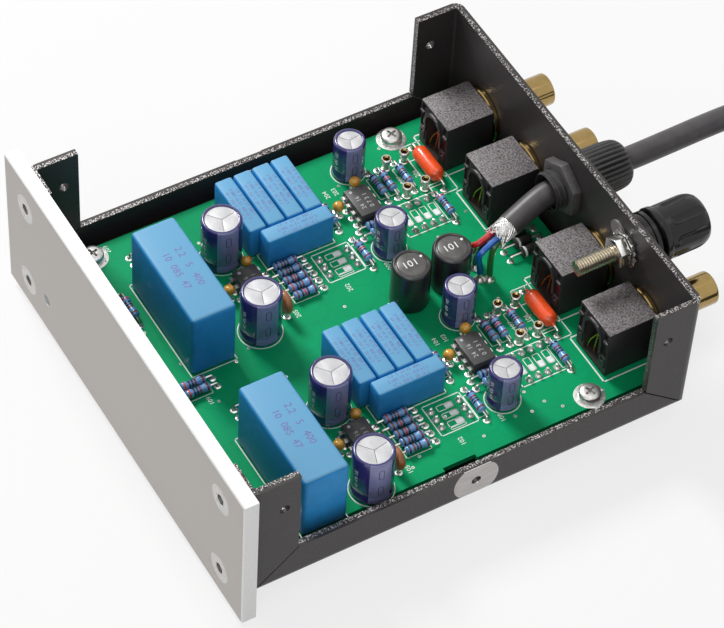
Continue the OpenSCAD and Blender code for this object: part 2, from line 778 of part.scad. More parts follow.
// Cable gland
module gland_body() {
  gland_len = gland_inside + sheet_t + gland_flange_t + gland_neck;
  color([0.14, 0.13, 0.13]) along_y(0, rear_in_y - gland_inside, gland_z) difference() {
    union() {
      cylinder(h = gland_len, d = gland_thread_d);
      translate([0, 0, gland_inside + sheet_t]) rotate([0, 0, 30])
        cylinder(h = gland_flange_t, d = gland_flange_af / cos(30), $fn = 6);
    }
    translate([0, 0, -cut_over]) cylinder(h = gland_len + 2 * cut_over, d = gland_bore_d);
  }
}
module gland_lock_nut() {
  color([0.2, 0.19, 0.19]) along_y(0, rear_in_y - gland_nut_t, gland_z) difference() {
    rotate([0, 0, 30]) cylinder(h = gland_nut_t, d = gland_nut_af / cos(30), $fn = 6);
    translate([0, 0, -cut_over]) cylinder(h = gland_nut_t + 2 * cut_over, d = gland_thread_d + 2 * play);
  }
}
module gland_dome_nut() {
  dome_len = dome_end - gland_flange_t - seat_gap;
  hollow_len = gland_neck + seat_gap;
  r = dome_d / 2;
  color([0.14, 0.13, 0.13]) along_y(0, rear_y + gland_flange_t + seat_gap, gland_z) difference() {
    rotate_extrude() polygon([
      [0, 0], [r, 0], [r, dome_len - dome_round], [r - dome_round / 4, dome_len - dome_round / 3],
      [r - dome_round, dome_len], [0, dome_len]]);
    translate([0, 0, -cut_over]) cylinder(h = hollow_len + cut_over, d = gland_thread_d + 2 * play);
    cylinder(h = dome_len - 2 * dome_wall, d = gland_bore_d);
    translate([0, 0, -cut_over]) cylinder(h = dome_len + 2 * cut_over, d = cable_d + 2 * seat_gap);
    for (k = [0 : rib_count - 1]) rotate([0, 0, k * 360 / rib_count])
      translate([r + rib_d / 4, 0, dome_wall]) cylinder(h = dome_len, d = rib_d, $fn = 4);
  }
}
module gland_seal() {
  seal_y = cable_exit_y - 2 * dome_wall - seat_gap - seal_len;
  color([0.1, 0.1, 0.1]) along_y(0, seal_y, gland_z) difference() {
    cylinder(h = seal_len, d = gland_bore_d - 2 * play);
    translate([0, 0, -cut_over]) cylinder(h = seal_len + 2 * cut_over, d = cable_d + 2 * play);
  }
}

// Cable inside the case: it bends down where it leaves the gland
bend_at = [0, rear_in_y - gland_inside, gland_z];
inner_dir = unit(inner_bend);
inner_side = unit(cross(inner_dir, [0, 0, -1]));
inner_up = cross(inner_side, inner_dir);
screen_start = bend_at + inner_bend;
screen_tip = screen_start + screen_len * inner_dir;
module along_bend(at) {
  translate(at) rotate([0, acos(inner_dir[2]), atan2(inner_dir[1], inner_dir[0])]) children();
}
module cable_inner_end() {
  color([0.27, 0.26, 0.27]) union() {
    along_y(0, bend_at[1] - bend_over, gland_z)
      cylinder(h = cable_exit_y - bend_at[1] + bend_over, d = cable_d);
    along_bend(bend_at - bend_over * inner_dir) cylinder(h = norm(inner_bend) + bend_over, d = cable_d);
  }
}
module cable_screen() {
  color([0.8, 0.8, 0.8]) along_bend(screen_start)
    cylinder(h = screen_len, d1 = screen_d, d2 = screen_end_d);
}
// A wire leaves the screen along the cable and bends down square onto the board
function wire_curve(p, q, lead, rise, t) =
  let (a = p + lead * inner_dir, b = q + [0, 0, rise], s = 1 - t)
    s * s * s * p + 3 * s * s * t * a + 3 * s * t * t * b + t * t * t * q;
function wire_points(p, q, lead, rise) =
  let (first = p + wire_square * inner_dir, last = q + [0, 0, wire_square])
    concat([p], [for (i = [0 : wire_steps]) wire_curve(first, last, lead, rise, i / wire_steps)],
      [q]);
function wire_start(share) =
  screen_tip + wire_spread * (share[0] * inner_side + share[1] * inner_up);
function wire_end(share) = [board_x(share[0]), board_along(share[1]), board_top_z];
module supply_wires() {
  names = ["firebrick", "black", "royalblue", "forestgreen"];
  for (k = [0 : len(wire_land_shares) - 1]) {
    p = wire_start(wire_start_shares[k]);
    q = wire_end(wire_land_shares[k]);
    path = wire_points(p, q, wire_lead[k], wire_rise[k]);
    color(names[k]) tube(path, wire_d / 2, cable_sides, [1, 0, 0]);
  }
}

// Ground post
module ground_post_stud() {
  color([0.8, 0.78, 0.72]) along_y(channel_x, rear_in_y - stud_inside, post_z)
    cylinder(h = stud_inside + sheet_t + stud_out, d = stud_d);
}
module ground_post_washers() {
  tooth = (tooth_washer_d - nut_af) / 4;
  color([0.75, 0.75, 0.75]) translate([channel_x, 0, post_z]) {
    // Tag against the wall, with its tail up to the left
    along_y(0, rear_in_y - tag_t, 0) difference() {
      union() {
        cylinder(h = tag_t, d = nut_af);
        rotate([0, 0, -tag_angle]) {
          translate([0, -tag_w / 2, 0]) cube([tag_len - tag_w / 2, tag_w, tag_t]);
          translate([tag_len - tag_w / 2, 0, 0]) cylinder(h = tag_t, d = tag_w);
        }
      }
      translate([0, 0, -cut_over]) cylinder(h = tag_t + 2 * cut_over, d = stud_d + 2 * seat_gap);
    }
    // Toothed washer
    along_y(0, rear_in_y - tag_t - tooth_washer_t, 0) difference() {
      union() {
        cylinder(h = tooth_washer_t, d = tooth_washer_d - 4 * tooth);
        for (k = [0 : tooth_count - 1]) rotate([0, 0, k * 360 / tooth_count])
          translate([0, -tooth / 2, 0]) cube([tooth_washer_d / 2, tooth, tooth_washer_t]);
      }
      translate([0, 0, -cut_over]) cylinder(h = tooth_washer_t + 2 * cut_over, d = stud_d + 2 * seat_gap);
    }
    // Plain washer outside
    along_y(0, rear_y, 0) difference() {
      cylinder(h = base_washer_t, d = base_washer_d);
      translate([0, 0, -cut_over]) cylinder(h = base_washer_t + 2 * cut_over, d = stud_d + 2 * seat_gap);
    }
  }
}
module ground_post_nut() {
  nut_y = rear_in_y - tag_t - tooth_washer_t - nut_t;
  color([0.7, 0.7, 0.7]) along_y(channel_x, nut_y, post_z) difference() {
    rotate([0, 0, 30]) cylinder(h = nut_t, d = nut_af / cos(30), $fn = 6);
    translate([0, 0, -cut_over]) cylinder(h = nut_t + 2 * cut_over, d = stud_d + 2 * play);
  }
}
module ground_post_collar() {
  lip_len = collar_len + collar_lip;
  color([0.08, 0.08, 0.08]) along_y(channel_x, rear_y + base_washer_t, post_z) difference() {
    union() {
      cylinder(h = collar_len, d = collar_d);
      cylinder(h = lip_len, d = collar_d - 4 * collar_lip);
    }
    translate([0, 0, -cut_over]) cylinder(h = lip_len + 2 * cut_over, d = stud_d + 2 * seat_gap);
  }
}
knob_y = rear_y + base_washer_t + collar_len + collar_lip + 2 * seat_gap;
knob_len = rear_y + post_reach - knob_y;
module ground_post_insert() {
  color([0.8, 0.65, 0.35]) along_y(channel_x, knob_y, post_z) difference() {
    cylinder(h = insert_len, d = insert_d);
    translate([0, 0, -cut_over]) cylinder(h = insert_len + 2 * cut_over, d = stud_d + 2 * play);
  }
}
module ground_post_knob() {
  r = knob_d / 2;
  color([0.08, 0.08, 0.08]) along_y(channel_x, knob_y, post_z) difference() {
    rotate_extrude() polygon([
      [0, 0], [knob_skirt_d / 2, 0], [knob_skirt_d / 2, knob_skirt_len], [r, knob_skirt_len],
      [r - knob_round / 4, knob_len - knob_round], [r - knob_round / 2, knob_len - knob_round / 3],
      [r - knob_round, knob_len], [0, knob_len]]);
    translate([0, 0, -cut_over]) cylinder(h = insert_len + seat_gap + cut_over, d = insert_d + 2 * play);
    for (k = [0 : flute_count - 1]) rotate([0, 0, (k + 0.5) * 360 / flute_count])
      translate([r + flute_d / 2 - flute_depth, 0, knob_skirt_len + flute_land])
        cylinder(h = knob_len, d = flute_d);
  }
}

// Cable outside, its coil, tie and plug
module dc_cable() {
  color([0.25, 0.24, 0.25]) tube(cable_points, cable_d / 2, cable_sides, [1, 0, 0]);
}
module cable_coil() {
  color([0.25, 0.24, 0.25]) tube(coil_path, cable_d / 2, coil_sides);
}
module cable_tie() {
  near_r = coil_in_r - cable_d / 2 - tie_gap;
  far_r = coil_out_r - coil_pitch / 4 + cable_d / 2 + tie_gap;
  top_z = plug_z + cable_d / 2 + tie_gap;
  w = far_r - near_r;
  h = top_z - tie_t;
  color([0.1, 0.1, 0.1]) translate([coil_centre[0], coil_centre[1] + near_r + w / 2, tie_t + h / 2])
    rotate([90, 0, 90]) linear_extrude(tie_w, center = true) difference() {
      rounded_outline(w + 2 * tie_t, h + 2 * tie_t, 2 * tie_t);
      rounded_outline(w, h, tie_t);
    }
}
module cable_plug() {
  end = coil_path[len(coil_path) - 1];
  ring_r = plug_z;
  body_r = plug_body_d / 2;
  nose_r = plug_nose_d / 2;
  ring_at = plug_boot_len + plug_ring_len;
  body_end = plug_boot_len + plug_body_len;
  nose_end = body_end + plug_nose_len;
  color([0.12, 0.12, 0.12]) translate(end) rotate([90, 0, 0]) difference() {
    rotate_extrude() polygon([
      [0, 0], [plug_boot_d / 2, 0], [plug_boot_end_d / 2, plug_boot_len],
      [body_r, plug_boot_len], [body_r, ring_at], [ring_r, ring_at],
      [ring_r, ring_at + plug_ring_len], [body_r, ring_at + plug_ring_len],
      [body_r, body_end], [nose_r, body_end], [nose_r, nose_end], [0, nose_end]]);
    for (k = [0 : plug_contacts - 1]) rotate([0, 0, (k + 0.5) * 360 / plug_contacts])
      translate([plug_contact_ring / 2, 0, nose_end - plug_contact_depth])
        cylinder(h = plug_contact_depth + cut_over, d = plug_contact_d);
  }
}

// Switch banks: the slots run along X, each bank hangs down from its middle
function dip_length(count) = count * dip_pitch + dip_end;
dip_h = board_bottom_z - floor_z - dip_recess;
slot_mouth_w = slider_tip[1] + 2 * slider_gap;
slot_foot_h = slider_foot[2] + 2 * slider_gap;
slot_depth = slider_h - slider_proud;
module dip_bank(count) {
  difference() {
    translate([-dip_w / 2, -dip_length(count) / 2, -dip_h]) cube([dip_w, dip_length(count), dip_h]);
    for (k = [0 : count - 1]) translate([0, (k - (count - 1) / 2) * dip_pitch, -dip_h]) {
      translate([-slot_len / 2, -slot_mouth_w / 2, -cut_over])
        cube([slot_len, slot_mouth_w, slot_depth + slider_gap + cut_over]);
      translate([-slot_len / 2, -slider_foot[1] / 2 - slider_gap, slot_depth + slider_gap - slot_foot_h])
        cube([slot_len, slider_foot[1] + 2 * slider_gap, slot_foot_h]);
    }
  }
}
module at_bank(side, is_gain) {
  channel(side) under_board(is_gain ? gain_share : impedance_share)
    rotate([0, 0, is_gain ? 90 : 0]) children();
}
module switch_banks() {
  color([0.75, 0.1, 0.1]) for (side = [-1, 1]) {
    at_bank(side, false) dip_bank(impedance_count);
    at_bank(side, true) dip_bank(gain_count);
  }
}
// One slider, at the low end of its slot
module dip_slider(side, is_gain, k) {
  count = is_gain ? gain_count : impedance_count;
  color([0.95, 0.95, 0.95]) at_bank(side, is_gain)
    translate([-slot_len / 2 + slider_gap, (k - 1 - (count - 1) / 2) * dip_pitch, -dip_h + slot_depth]) {
      translate([0, -slider_foot[1] / 2, -slider_foot[2]]) cube(slider_foot);
      translate([0, -slider_tip[1] / 2, -slider_h]) cube([slider_tip[0], slider_tip[1], slider_h]);
    }
}

chassis_tray();
front_plate();
front_plate_screws();
power_led();
rubber_feet();
board_standoffs();
circuit_board();
board_screws();
big_film_capacitors();
film_capacitors(-1);  // film_capacitors_left
film_capacitors(1);  // film_capacitors_right
electrolytics(-1);  // electrolytics_left
electrolytics(1);  // electrolytics_right
supply_chokes();
tubular_capacitors();
signal_chips();
ceramic_capacitors();
resistors(-1);  // resistors_left
resistors(1);  // resistors_right
supply_diodes();
pin_sockets();
jack_housing(-1, 1);  // output_housing_left
jack_housing(-1, -1);  // input_housing_left
jack_housing(1, 1);  // output_housing_right
jack_housing(1, -1);  // input_housing_right
socket_shells();
socket_insulators();
socket_contacts();
gland_body();
gland_lock_nut();
gland_dome_nut();
gland_seal();
cable_inner_end();
cable_screen();
supply_wires();
ground_post_stud();
ground_post_collar();
ground_post_insert();
ground_post_knob();
ground_post_nut();
ground_post_washers();
dc_cable();
cable_coil();
cable_tie();
cable_plug();
switch_banks();
dip_slider(-1, false, 1);  // impedance_slider_left_1
dip_slider(-1, false, 2);  // impedance_slider_left_2
dip_slider(-1, false, 3);  // impedance_slider_left_3
dip_slider(-1, false, 4);  // impedance_slider_left_4
dip_slider(1, false, 1);  // impedance_slider_right_1
dip_slider(1, false, 2);  // impedance_slider_right_2
dip_slider(1, false, 3);  // impedance_slider_right_3
dip_slider(1, false, 4);  // impedance_slider_right_4
dip_slider(-1, true, 1);  // gain_slider_left_1
dip_slider(-1, true, 2);  // gain_slider_left_2
dip_slider(-1, true, 3);  // gain_slider_left_3
dip_slider(1, true, 1);  // gain_slider_right_1
dip_slider(1, true, 2);  // gain_slider_right_2
dip_slider(1, true, 3);  // gain_slider_right_3
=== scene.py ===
# %% [markdown]
# # A small phono preamp with its cover off
# The object is a folded steel tray with an aluminium front plate, a green circuit
# board full of parts, four phono sockets, a cable gland and a ground post. The CAD
# model gives every place and size. This lesson gives the parts their real shapes
# and finishes. It works in millimetres and scales each finished mesh to metres.
# %% Load the measured model
import math
import random

import bmesh
import bpy
from mathutils import Matrix, Vector


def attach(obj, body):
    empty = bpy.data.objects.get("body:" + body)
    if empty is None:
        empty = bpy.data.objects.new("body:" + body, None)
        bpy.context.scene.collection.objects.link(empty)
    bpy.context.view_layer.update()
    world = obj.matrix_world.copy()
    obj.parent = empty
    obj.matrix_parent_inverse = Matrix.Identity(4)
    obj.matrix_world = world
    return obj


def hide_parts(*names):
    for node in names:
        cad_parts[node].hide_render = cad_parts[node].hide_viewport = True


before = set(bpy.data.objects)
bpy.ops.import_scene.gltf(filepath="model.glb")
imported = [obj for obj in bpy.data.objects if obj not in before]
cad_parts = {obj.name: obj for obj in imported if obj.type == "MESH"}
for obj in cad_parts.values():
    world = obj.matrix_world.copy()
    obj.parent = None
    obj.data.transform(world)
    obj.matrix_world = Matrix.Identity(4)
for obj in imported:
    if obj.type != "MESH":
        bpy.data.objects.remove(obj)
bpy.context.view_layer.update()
MM = 0.001
FULL_TURN = 2 * math.pi

# %% [markdown]
# ## Camera
# The photograph was taken from above the front right corner with a long lens. The
# view was found by matching corners of the tray, so the camera's place, aim and
# tilt are written down here as they were measured.
# %% Set up the camera
scene = bpy.context.scene
PHOTO_WIDTH, FOCAL_PIXELS, SENSOR = 724, 3366.277, 36.0
VIEW_FROM = (0.42606, -0.28184, 0.62359)
VIEW_DEGREES = (57.061, 50.294, 3.809)
camera_data = bpy.data.cameras.new("photo_camera")
camera_data.sensor_width = SENSOR
camera_data.lens = FOCAL_PIXELS / PHOTO_WIDTH * SENSOR
camera_data.clip_start, camera_data.clip_end = 0.01, 50
azimuth, elevation, roll = (math.radians(angle) for angle in VIEW_DEGREES)
level = math.cos(elevation)
back = Vector((math.sin(azimuth) * level, -math.cos(azimuth) * level,
               math.sin(elevation)))
level_right = Vector((0, 0, 1)).cross(back).normalized()
level_up = back.cross(level_right)
right = math.cos(roll) * level_right + math.sin(roll) * level_up
up = -math.sin(roll) * level_right + math.cos(roll) * level_up
camera = bpy.data.objects.new("photo_camera", camera_data)
turn = Matrix((right, up, back)).transposed().to_4x4()
camera.matrix_world = Matrix.Translation(VIEW_FROM) @ turn
scene.collection.objects.link(camera)
scene.camera = camera
print("lens in mm:", round(camera_data.lens, 2))

# %% [markdown]
# ## Shader nodes
# A surface's look is a small tree of nodes. These helpers add a node, and set its
# inputs to plain values or wire them to other nodes, so a tree reads like a recipe.
# %% Add and wire nodes
def wire(tree, node, inputs):
    """Sets a node's inputs to values, or links them to other nodes' outputs."""
    for key, value in inputs.items():
        if isinstance(value, bpy.types.NodeSocket):
            tree.links.new(value, node.inputs[key])
        else:
            node.inputs[key].default_value = value


def add(tree, kind, inputs=None, **settings):
    """A new node of this kind, with its settings and its inputs."""
    node = tree.nodes.new("ShaderNode" + kind)
    for key, value in settings.items():
        setattr(node, key, value)
    wire(tree, node, inputs or {})
    return node


def maths(tree, operation, first, second=0.0):
    """The result of a sum or a comparison."""
    return add(tree, "Math", {0: first, 1: second}, operation=operation).outputs[0]


def noise(tree, where, scale, detail):
    cloud = add(tree, "TexNoise", {"Vector": where, "Scale": scale, "Detail": detail})
    return cloud.outputs["Fac"]


def ramp(tree, value, dark, bright, low=0.0, high=1.0):
    """A tone between two colours, as the value goes from low to high."""
    node = add(tree, "ValToRGB", {"Fac": value})
    stops = zip(node.color_ramp.elements, (low, high), (dark, bright))
    for stop, place, colour in stops:
        stop.position, stop.color = place, (*colour, 1)
    return node.outputs["Color"]


def bumped(tree, height, strength, distance):
    node = add(tree, "Bump", {"Height": height, "Strength": strength,
                              "Distance": distance})
    return node.outputs["Normal"]


def shader(tree, kind, inputs):
    return add(tree, kind, inputs).outputs[0]


def new_material(name):
    """A material, its tree and its main shader."""
    mat = bpy.data.materials.new(name)
    mat.use_nodes = True
    return mat, mat.node_tree, mat.node_tree.nodes["Principled BSDF"]


# %% [markdown]
# ## Light, floor and backdrop
# Small metal parts look right only if they have something broad to mirror, so the
# light is a big soft panel behind and to the left, a weaker one in front, and a
# bright world. The floor shows white to the camera and still takes the shadow.
# %% Set up the studio
scene.view_settings.view_transform = "Standard"
FLOOR_HALF, FLOOR_GLOW_SHARE = 3.0, 0.8
SKY_LIGHT, SKY_SEEN, FLOOR_SEEN = (0.93, 0.93, 0.935, 1), 0.93, 0.945


def grey(tone):
    return tone, tone, tone, 1


def panel(name, place, size, power, aim=(0, 0, 0.02)):
    """A soft rectangular lamp that faces its aim."""
    data = bpy.data.lights.new(name, "AREA")
    data.shape = "RECTANGLE"
    data.size, data.size_y = size
    data.energy = power
    lamp = bpy.data.objects.new(name, data)
    facing = (Vector(aim) - Vector(place)).to_track_quat("-Z", "Y")
    lamp.matrix_world = Matrix.Translation(place) @ facing.to_matrix().to_4x4()
    scene.collection.objects.link(lamp)


def mixed_view(tree, plain, bright, output, share=1.0):
    """Shows the bright surface to whatever looks at it, and lights with the plain."""
    rays = add(tree, "LightPath").outputs
    direct = maths(tree, "MAXIMUM", rays["Is Camera Ray"], rays["Is Transmission Ray"])
    seen = maths(tree, "MAXIMUM", direct, rays["Is Glossy Ray"])
    mix = shader(tree, "MixShader", {0: maths(tree, "MULTIPLY", seen, share),
                                     1: plain, 2: bright})
    wire(tree, tree.nodes[output], {"Surface": mix})


panel("key_panel", (-0.75, -0.1, 0.72), (0.3, 0.3), 10.0)
panel("fill_panel", (0.7, -0.7, 0.6), (0.8, 0.5), 2.6)
panel("top_panel", (0.1, 0.1, 1.1), (0.9, 0.9), 2.0, aim=(0, 0, 0))

world = bpy.data.worlds.new("studio")
scene.world = world
world.use_nodes = True
sky = world.node_tree
air = sky.nodes["Background"]
wire(sky, air, {"Color": SKY_LIGHT, "Strength": 0.3})
seen_sky = shader(sky, "Background", {"Color": grey(SKY_SEEN), "Strength": 1.0})
mixed_view(sky, air.outputs[0], seen_sky, "World Output")

floor_mesh = bmesh.new()
bmesh.ops.create_grid(floor_mesh, x_segments=1, y_segments=1, size=FLOOR_HALF)
floor_data = bpy.data.meshes.new("studio_floor")
floor_mesh.to_mesh(floor_data)
floor_mesh.free()
floor = bpy.data.objects.new("studio_floor", floor_data)
scene.collection.objects.link(floor)
paper, paper_tree, paper_base = new_material("floor_paper")
wire(paper_tree, paper_base, {"Base Color": grey(0.9), "Roughness": 0.9})
glow = shader(paper_tree, "Emission", {"Color": grey(FLOOR_SEEN), "Strength": 1.0})
mixed_view(paper_tree, paper_base.outputs[0], glow, "Material Output",
           FLOOR_GLOW_SHARE)
floor_data.materials.append(paper)

# %% [markdown]
# ## From a shape to a piece
# Each part is drawn once as a small mesh about its own middle, in millimetres. It is
# then stamped wherever the object has it, and the whole set becomes one piece.
# %% Stamp shapes and settle them as pieces
HERE, SHARP_DEGREES = [Matrix()], 35


def as_shape(bm):
    shape = bpy.data.meshes.new("shape")
    bm.to_mesh(shape)
    bm.free()
    return shape


def as_bm(shape):
    bm = bmesh.new()
    bm.from_mesh(shape)
    return bm


def stamp(bm, shape, places, number=None):
    """Adds a copy of the shape at each place, and may give it one finish's number."""
    for place in places:
        first_vert, first_face = len(bm.verts), len(bm.faces)
        bm.from_mesh(shape)
        bm.verts.ensure_lookup_table()
        bmesh.ops.transform(bm, matrix=place, verts=bm.verts[first_vert:])
        if number is not None:
            bm.faces.ensure_lookup_table()
            for face in bm.faces[first_face:]:
                face.material_index = number


def settle(name, bm, finishes, slot, stands_for=(), body="case", sharp=SHARP_DEGREES):
    """Scales the mesh to metres and makes it a piece on its body."""
    bmesh.ops.scale(bm, vec=(MM, MM, MM), verts=bm.verts)
    bmesh.ops.recalc_face_normals(bm, faces=bm.faces)
    mesh = as_shape(bm)
    mesh.name = name
    for mat in finishes:
        mesh.materials.append(mat)
    mesh.shade_smooth()
    mesh.set_sharp_from_angle(angle=math.radians(sharp))
    made = bpy.data.objects.new(name, mesh)
    scene.collection.objects.link(made)
    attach(made, body)
    if stands_for:
        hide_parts(*stands_for)
    print(name, "has", len(mesh.polygons), "faces")
    return made


def stamped(stamps):
    """A new mesh from stamps, each a shape, its places and maybe a finish number."""
    bm = bmesh.new()
    for one_stamp in stamps:
        stamp(bm, *one_stamp)
    return bm


def piece(name, stamps, *rest, **options):
    return settle(name, stamped(stamps), *rest, **options)


def at(x, y, z=0.0, turned=0.0):
    """A place in millimetres, turned about the upright by some degrees."""
    return Matrix.Translation((x, y, z)) @ Matrix.Rotation(math.radians(turned), 4, "Z")


def along_y(x, y, z, turned=0.0):
    """A place whose own upright points to the rear, along +Y."""
    return at(x, y, z) @ Matrix.Rotation(math.radians(-90), 4, "X") @ at(0, 0, 0, turned)


def from_axis(place):
    return math.hypot(place.x, place.y)


def bearing(place):
    """The direction of a place round the upright axis, in degrees."""
    return math.degrees(math.atan2(place.y, place.x))


def polar(radius, angle, height=0.0):
    return radius * math.cos(angle), radius * math.sin(angle), height


# %% [markdown]
# ## Basic shapes
# Most parts are turned, blocky or drawn from wire. A turned part is an outline spun
# about its upright. A block is a cube with bevelled edges. A wire is a path with a
# round section, smoothed between given points.
# %% Turned shapes
WELD = 1e-4


def painted(bm, paint):
    """Gives each face the finish number that paint says for its middle."""
    if paint:
        for face in bm.faces:
            face.material_index = paint(face.calc_center_median())


def turned(outline, steps, paint=None):
    """Spins (radius, height) points about Z."""
    bm = bmesh.new()
    verts = [bm.verts.new((r, 0, h)) for r, h in outline]
    edges = [bm.edges.new(pair) for pair in zip(verts, verts[1:])]
    bmesh.ops.spin(bm, geom=verts + edges, cent=(0, 0, 0), axis=(0, 0, 1),
                   angle=FULL_TURN, steps=steps, use_merge=True)
    bmesh.ops.remove_doubles(bm, verts=bm.verts, dist=WELD)
    painted(bm, paint)
    bmesh.ops.recalc_face_normals(bm, faces=bm.faces)
    return as_shape(bm)


def rod(radius, low, high, steps):
    return turned([(0, low), (radius, low), (radius, high), (0, high)], steps)


def ring(inner, outer, low, high, steps):
    return turned([(inner, low), (outer, low), (outer, high), (inner, high),
                   (inner, low)], steps)


def both_ends(half, middle=()):
    """The outline of a part that is alike at both ends, from its upper half."""
    return [(r, -h) for r, h in reversed(half)] + [*middle] + half


# %% Blocks and flat-sided bars
def bevelled(bm, edges, width, steps):
    if width:
        bmesh.ops.bevel(bm, geom=edges, offset=width, affect="EDGES", segments=steps,
                        profile=0.5, material=-1)


def block(size, bevel=0.0, steps=2):
    """A bevelled box that stands on z = 0."""
    bm = bmesh.new()
    bmesh.ops.create_cube(bm, size=1, matrix=at(0, 0, size[2] / 2)
                          @ Matrix.Diagonal((*size, 1)))
    bevelled(bm, bm.edges[:], bevel, steps)
    return as_shape(bm)


def prism(sides, radius, height, bevel=0.0, hole=0.0):
    """An upright bar with flat sides, chamfered at both ends, and maybe bored."""
    bm = bmesh.new()
    bmesh.ops.create_cone(bm, cap_ends=True, segments=sides, radius1=radius,
                          radius2=radius, depth=height, matrix=at(0, 0, height / 2))
    if hole:
        ends = [f for f in bm.faces if abs(f.normal.z) > 0.9]
        bmesh.ops.inset_individual(bm, faces=ends, thickness=radius - hole)
        bmesh.ops.delete(bm, geom=ends, context="FACES_ONLY")
        bmesh.ops.bridge_loops(bm, edges=[e for e in bm.edges if e.is_boundary])
    outer = [e for e in bm.edges if e.calc_length() > WELD
             and all(from_axis(v.co) > radius * 0.9 for v in e.verts)]
    bevelled(bm, outer, bevel, 2)
    return as_shape(bm)


def cut_out(shape, cutter, places):
    """The shape without the cutter's shape at each place."""
    body = bpy.data.objects.new("body", shape)
    tool = bpy.data.objects.new("tool", as_shape(stamped([(cutter, places)])))
    for holder in (body, tool):
        scene.collection.objects.link(holder)
    cut = body.modifiers.new("cut", "BOOLEAN")
    cut.operation, cut.solver, cut.object = "DIFFERENCE", "EXACT", tool
    graph = bpy.context.evaluated_depsgraph_get()
    left = bpy.data.meshes.new_from_object(body.evaluated_get(graph))
    for holder in (body, tool):
        bpy.data.objects.remove(holder)
    return left


# %% Wires and figures
def smooth_run(points, steps):
    """More points on a smooth curve through the given ones."""
    points = [Vector(p) for p in points]
    ends = [2 * points[0] - points[1]] + points + [2 * points[-1] - points[-2]]
    run = []
    for a, b, c, d in zip(ends, ends[1:], ends[2:], ends[3:]):
        for k in range(steps):
            t = k / steps
            run.append(0.5 * (2 * b + (c - a) * t + (2 * a - 5 * b + 4 * c - d) * t * t
                              + (3 * b - a - 3 * c + d) * t ** 3))
    return run + [points[-1]]


def wire_curve(name, runs, radius, roundness):
    """A curve with a round section and closed ends along each run of points."""
    curve = bpy.data.curves.new(name, "CURVE")
    curve.dimensions = "3D"
    curve.bevel_depth = radius
    curve.bevel_resolution = roundness
    curve.use_fill_caps = True
    for run in runs:
        spline = curve.splines.new("POLY")
        spline.points.add(len(run) - 1)
        for point, place in zip(spline.points, run):
            point.co = (*place, 1)
    return curve


def curve_shape(curve):
    holder = bpy.data.objects.new("run", curve)
    scene.collection.objects.link(holder)
    graph = bpy.context.evaluated_depsgraph_get()
    shape = bpy.data.meshes.new_from_object(holder.evaluated_get(graph))
    bpy.data.objects.remove(holder)
    return shape


def wires(runs, radius, roundness=1):
    return curve_shape(wire_curve("run", runs, radius, roundness))


def lettering(words, size, thick=0.02):
    """Plain figures as a thin mesh lying on z = 0, centred."""
    font = bpy.data.curves.new("figures", "FONT")
    font.body, font.size, font.extrude = words, size, thick / 2
    font.resolution_u = 2
    font.align_x = font.align_y = "CENTER"
    return curve_shape(font)


# %% [markdown]
# ## Finishes
# A finish starts as a plain shader. A noise in Object coordinates then varies its
# colour a little and roughens its surface, because even new parts are never one
# flat colour. Object coordinates keep the grain at its real size.
# %% Make finishes
COAT_ROUGHNESS = 0.08


def finish(name, colour, roughness, metallic=0.0, spread=0.12, grain=900.0,
           bump=0.0, bump_size=0.00002, coat=0.0, specular=None):
    """A shader whose colour drifts between two tones and whose surface is grained."""
    mat, tree, base = new_material(name)
    wire(tree, base, {"Metallic": metallic, "Roughness": roughness})
    if coat:
        wire(tree, base, {"Coat Weight": coat, "Coat Roughness": COAT_ROUGHNESS})
    if specular is not None:
        wire(tree, base, {"Specular IOR Level": specular})
    cloud = noise(tree, add(tree, "TexCoord").outputs["Object"], grain, 4)
    dark = [part * (1 - spread) for part in colour]
    wire(tree, base, {"Base Color": ramp(tree, cloud, dark, colour, 0.35, 0.65)})
    if bump:
        wire(tree, base, {"Normal": bumped(tree, cloud, bump, bump_size)})
    return mat


def parts_of(mat):
    """A finish's tree, its main shader and the places its textures use."""
    nodes = mat.node_tree.nodes
    return (mat.node_tree, nodes["Principled BSDF"],
            nodes["Texture Coordinate"].outputs)


def tint(mat, amount, colour):
    """Lays a second tone over a finish, as far as the amount says."""
    tree, base, _ = parts_of(mat)
    first = base.inputs["Base Color"].links[0].from_socket
    mix = add(tree, "Mix", {"Factor": amount, "A": first, "B": (*colour, 1)},
              data_type="RGBA")
    wire(tree, base, {"Base Color": mix.outputs["Result"]})


def two_faces(mat, colour, axis, limit, test="GREATER_THAN"):
    """Tints the faces that look along an axis, or with LESS_THAN the other ones."""
    tree, _, places = parts_of(mat)
    along = add(tree, "SeparateXYZ", {0: places["Normal"]}).outputs[axis]
    tint(mat, maths(tree, test, maths(tree, "ABSOLUTE", along), limit), colour)
    return mat


def dress(node, mat):
    """Gives a CAD node that stays in view its finish."""
    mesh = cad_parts[node].data
    mesh.materials.clear()
    mesh.materials.append(mat)
    print("finish", mat.name, "on", node)


tin = finish("tinned_lead", (0.72, 0.7, 0.66), 0.28, 1.0, 0.2, 700, 0.3)
dark_print = finish("dark_print", (0.02, 0.02, 0.03), 0.5)
white_print = finish("white_print", (0.82, 0.84, 0.82), 0.55, spread=0.06)

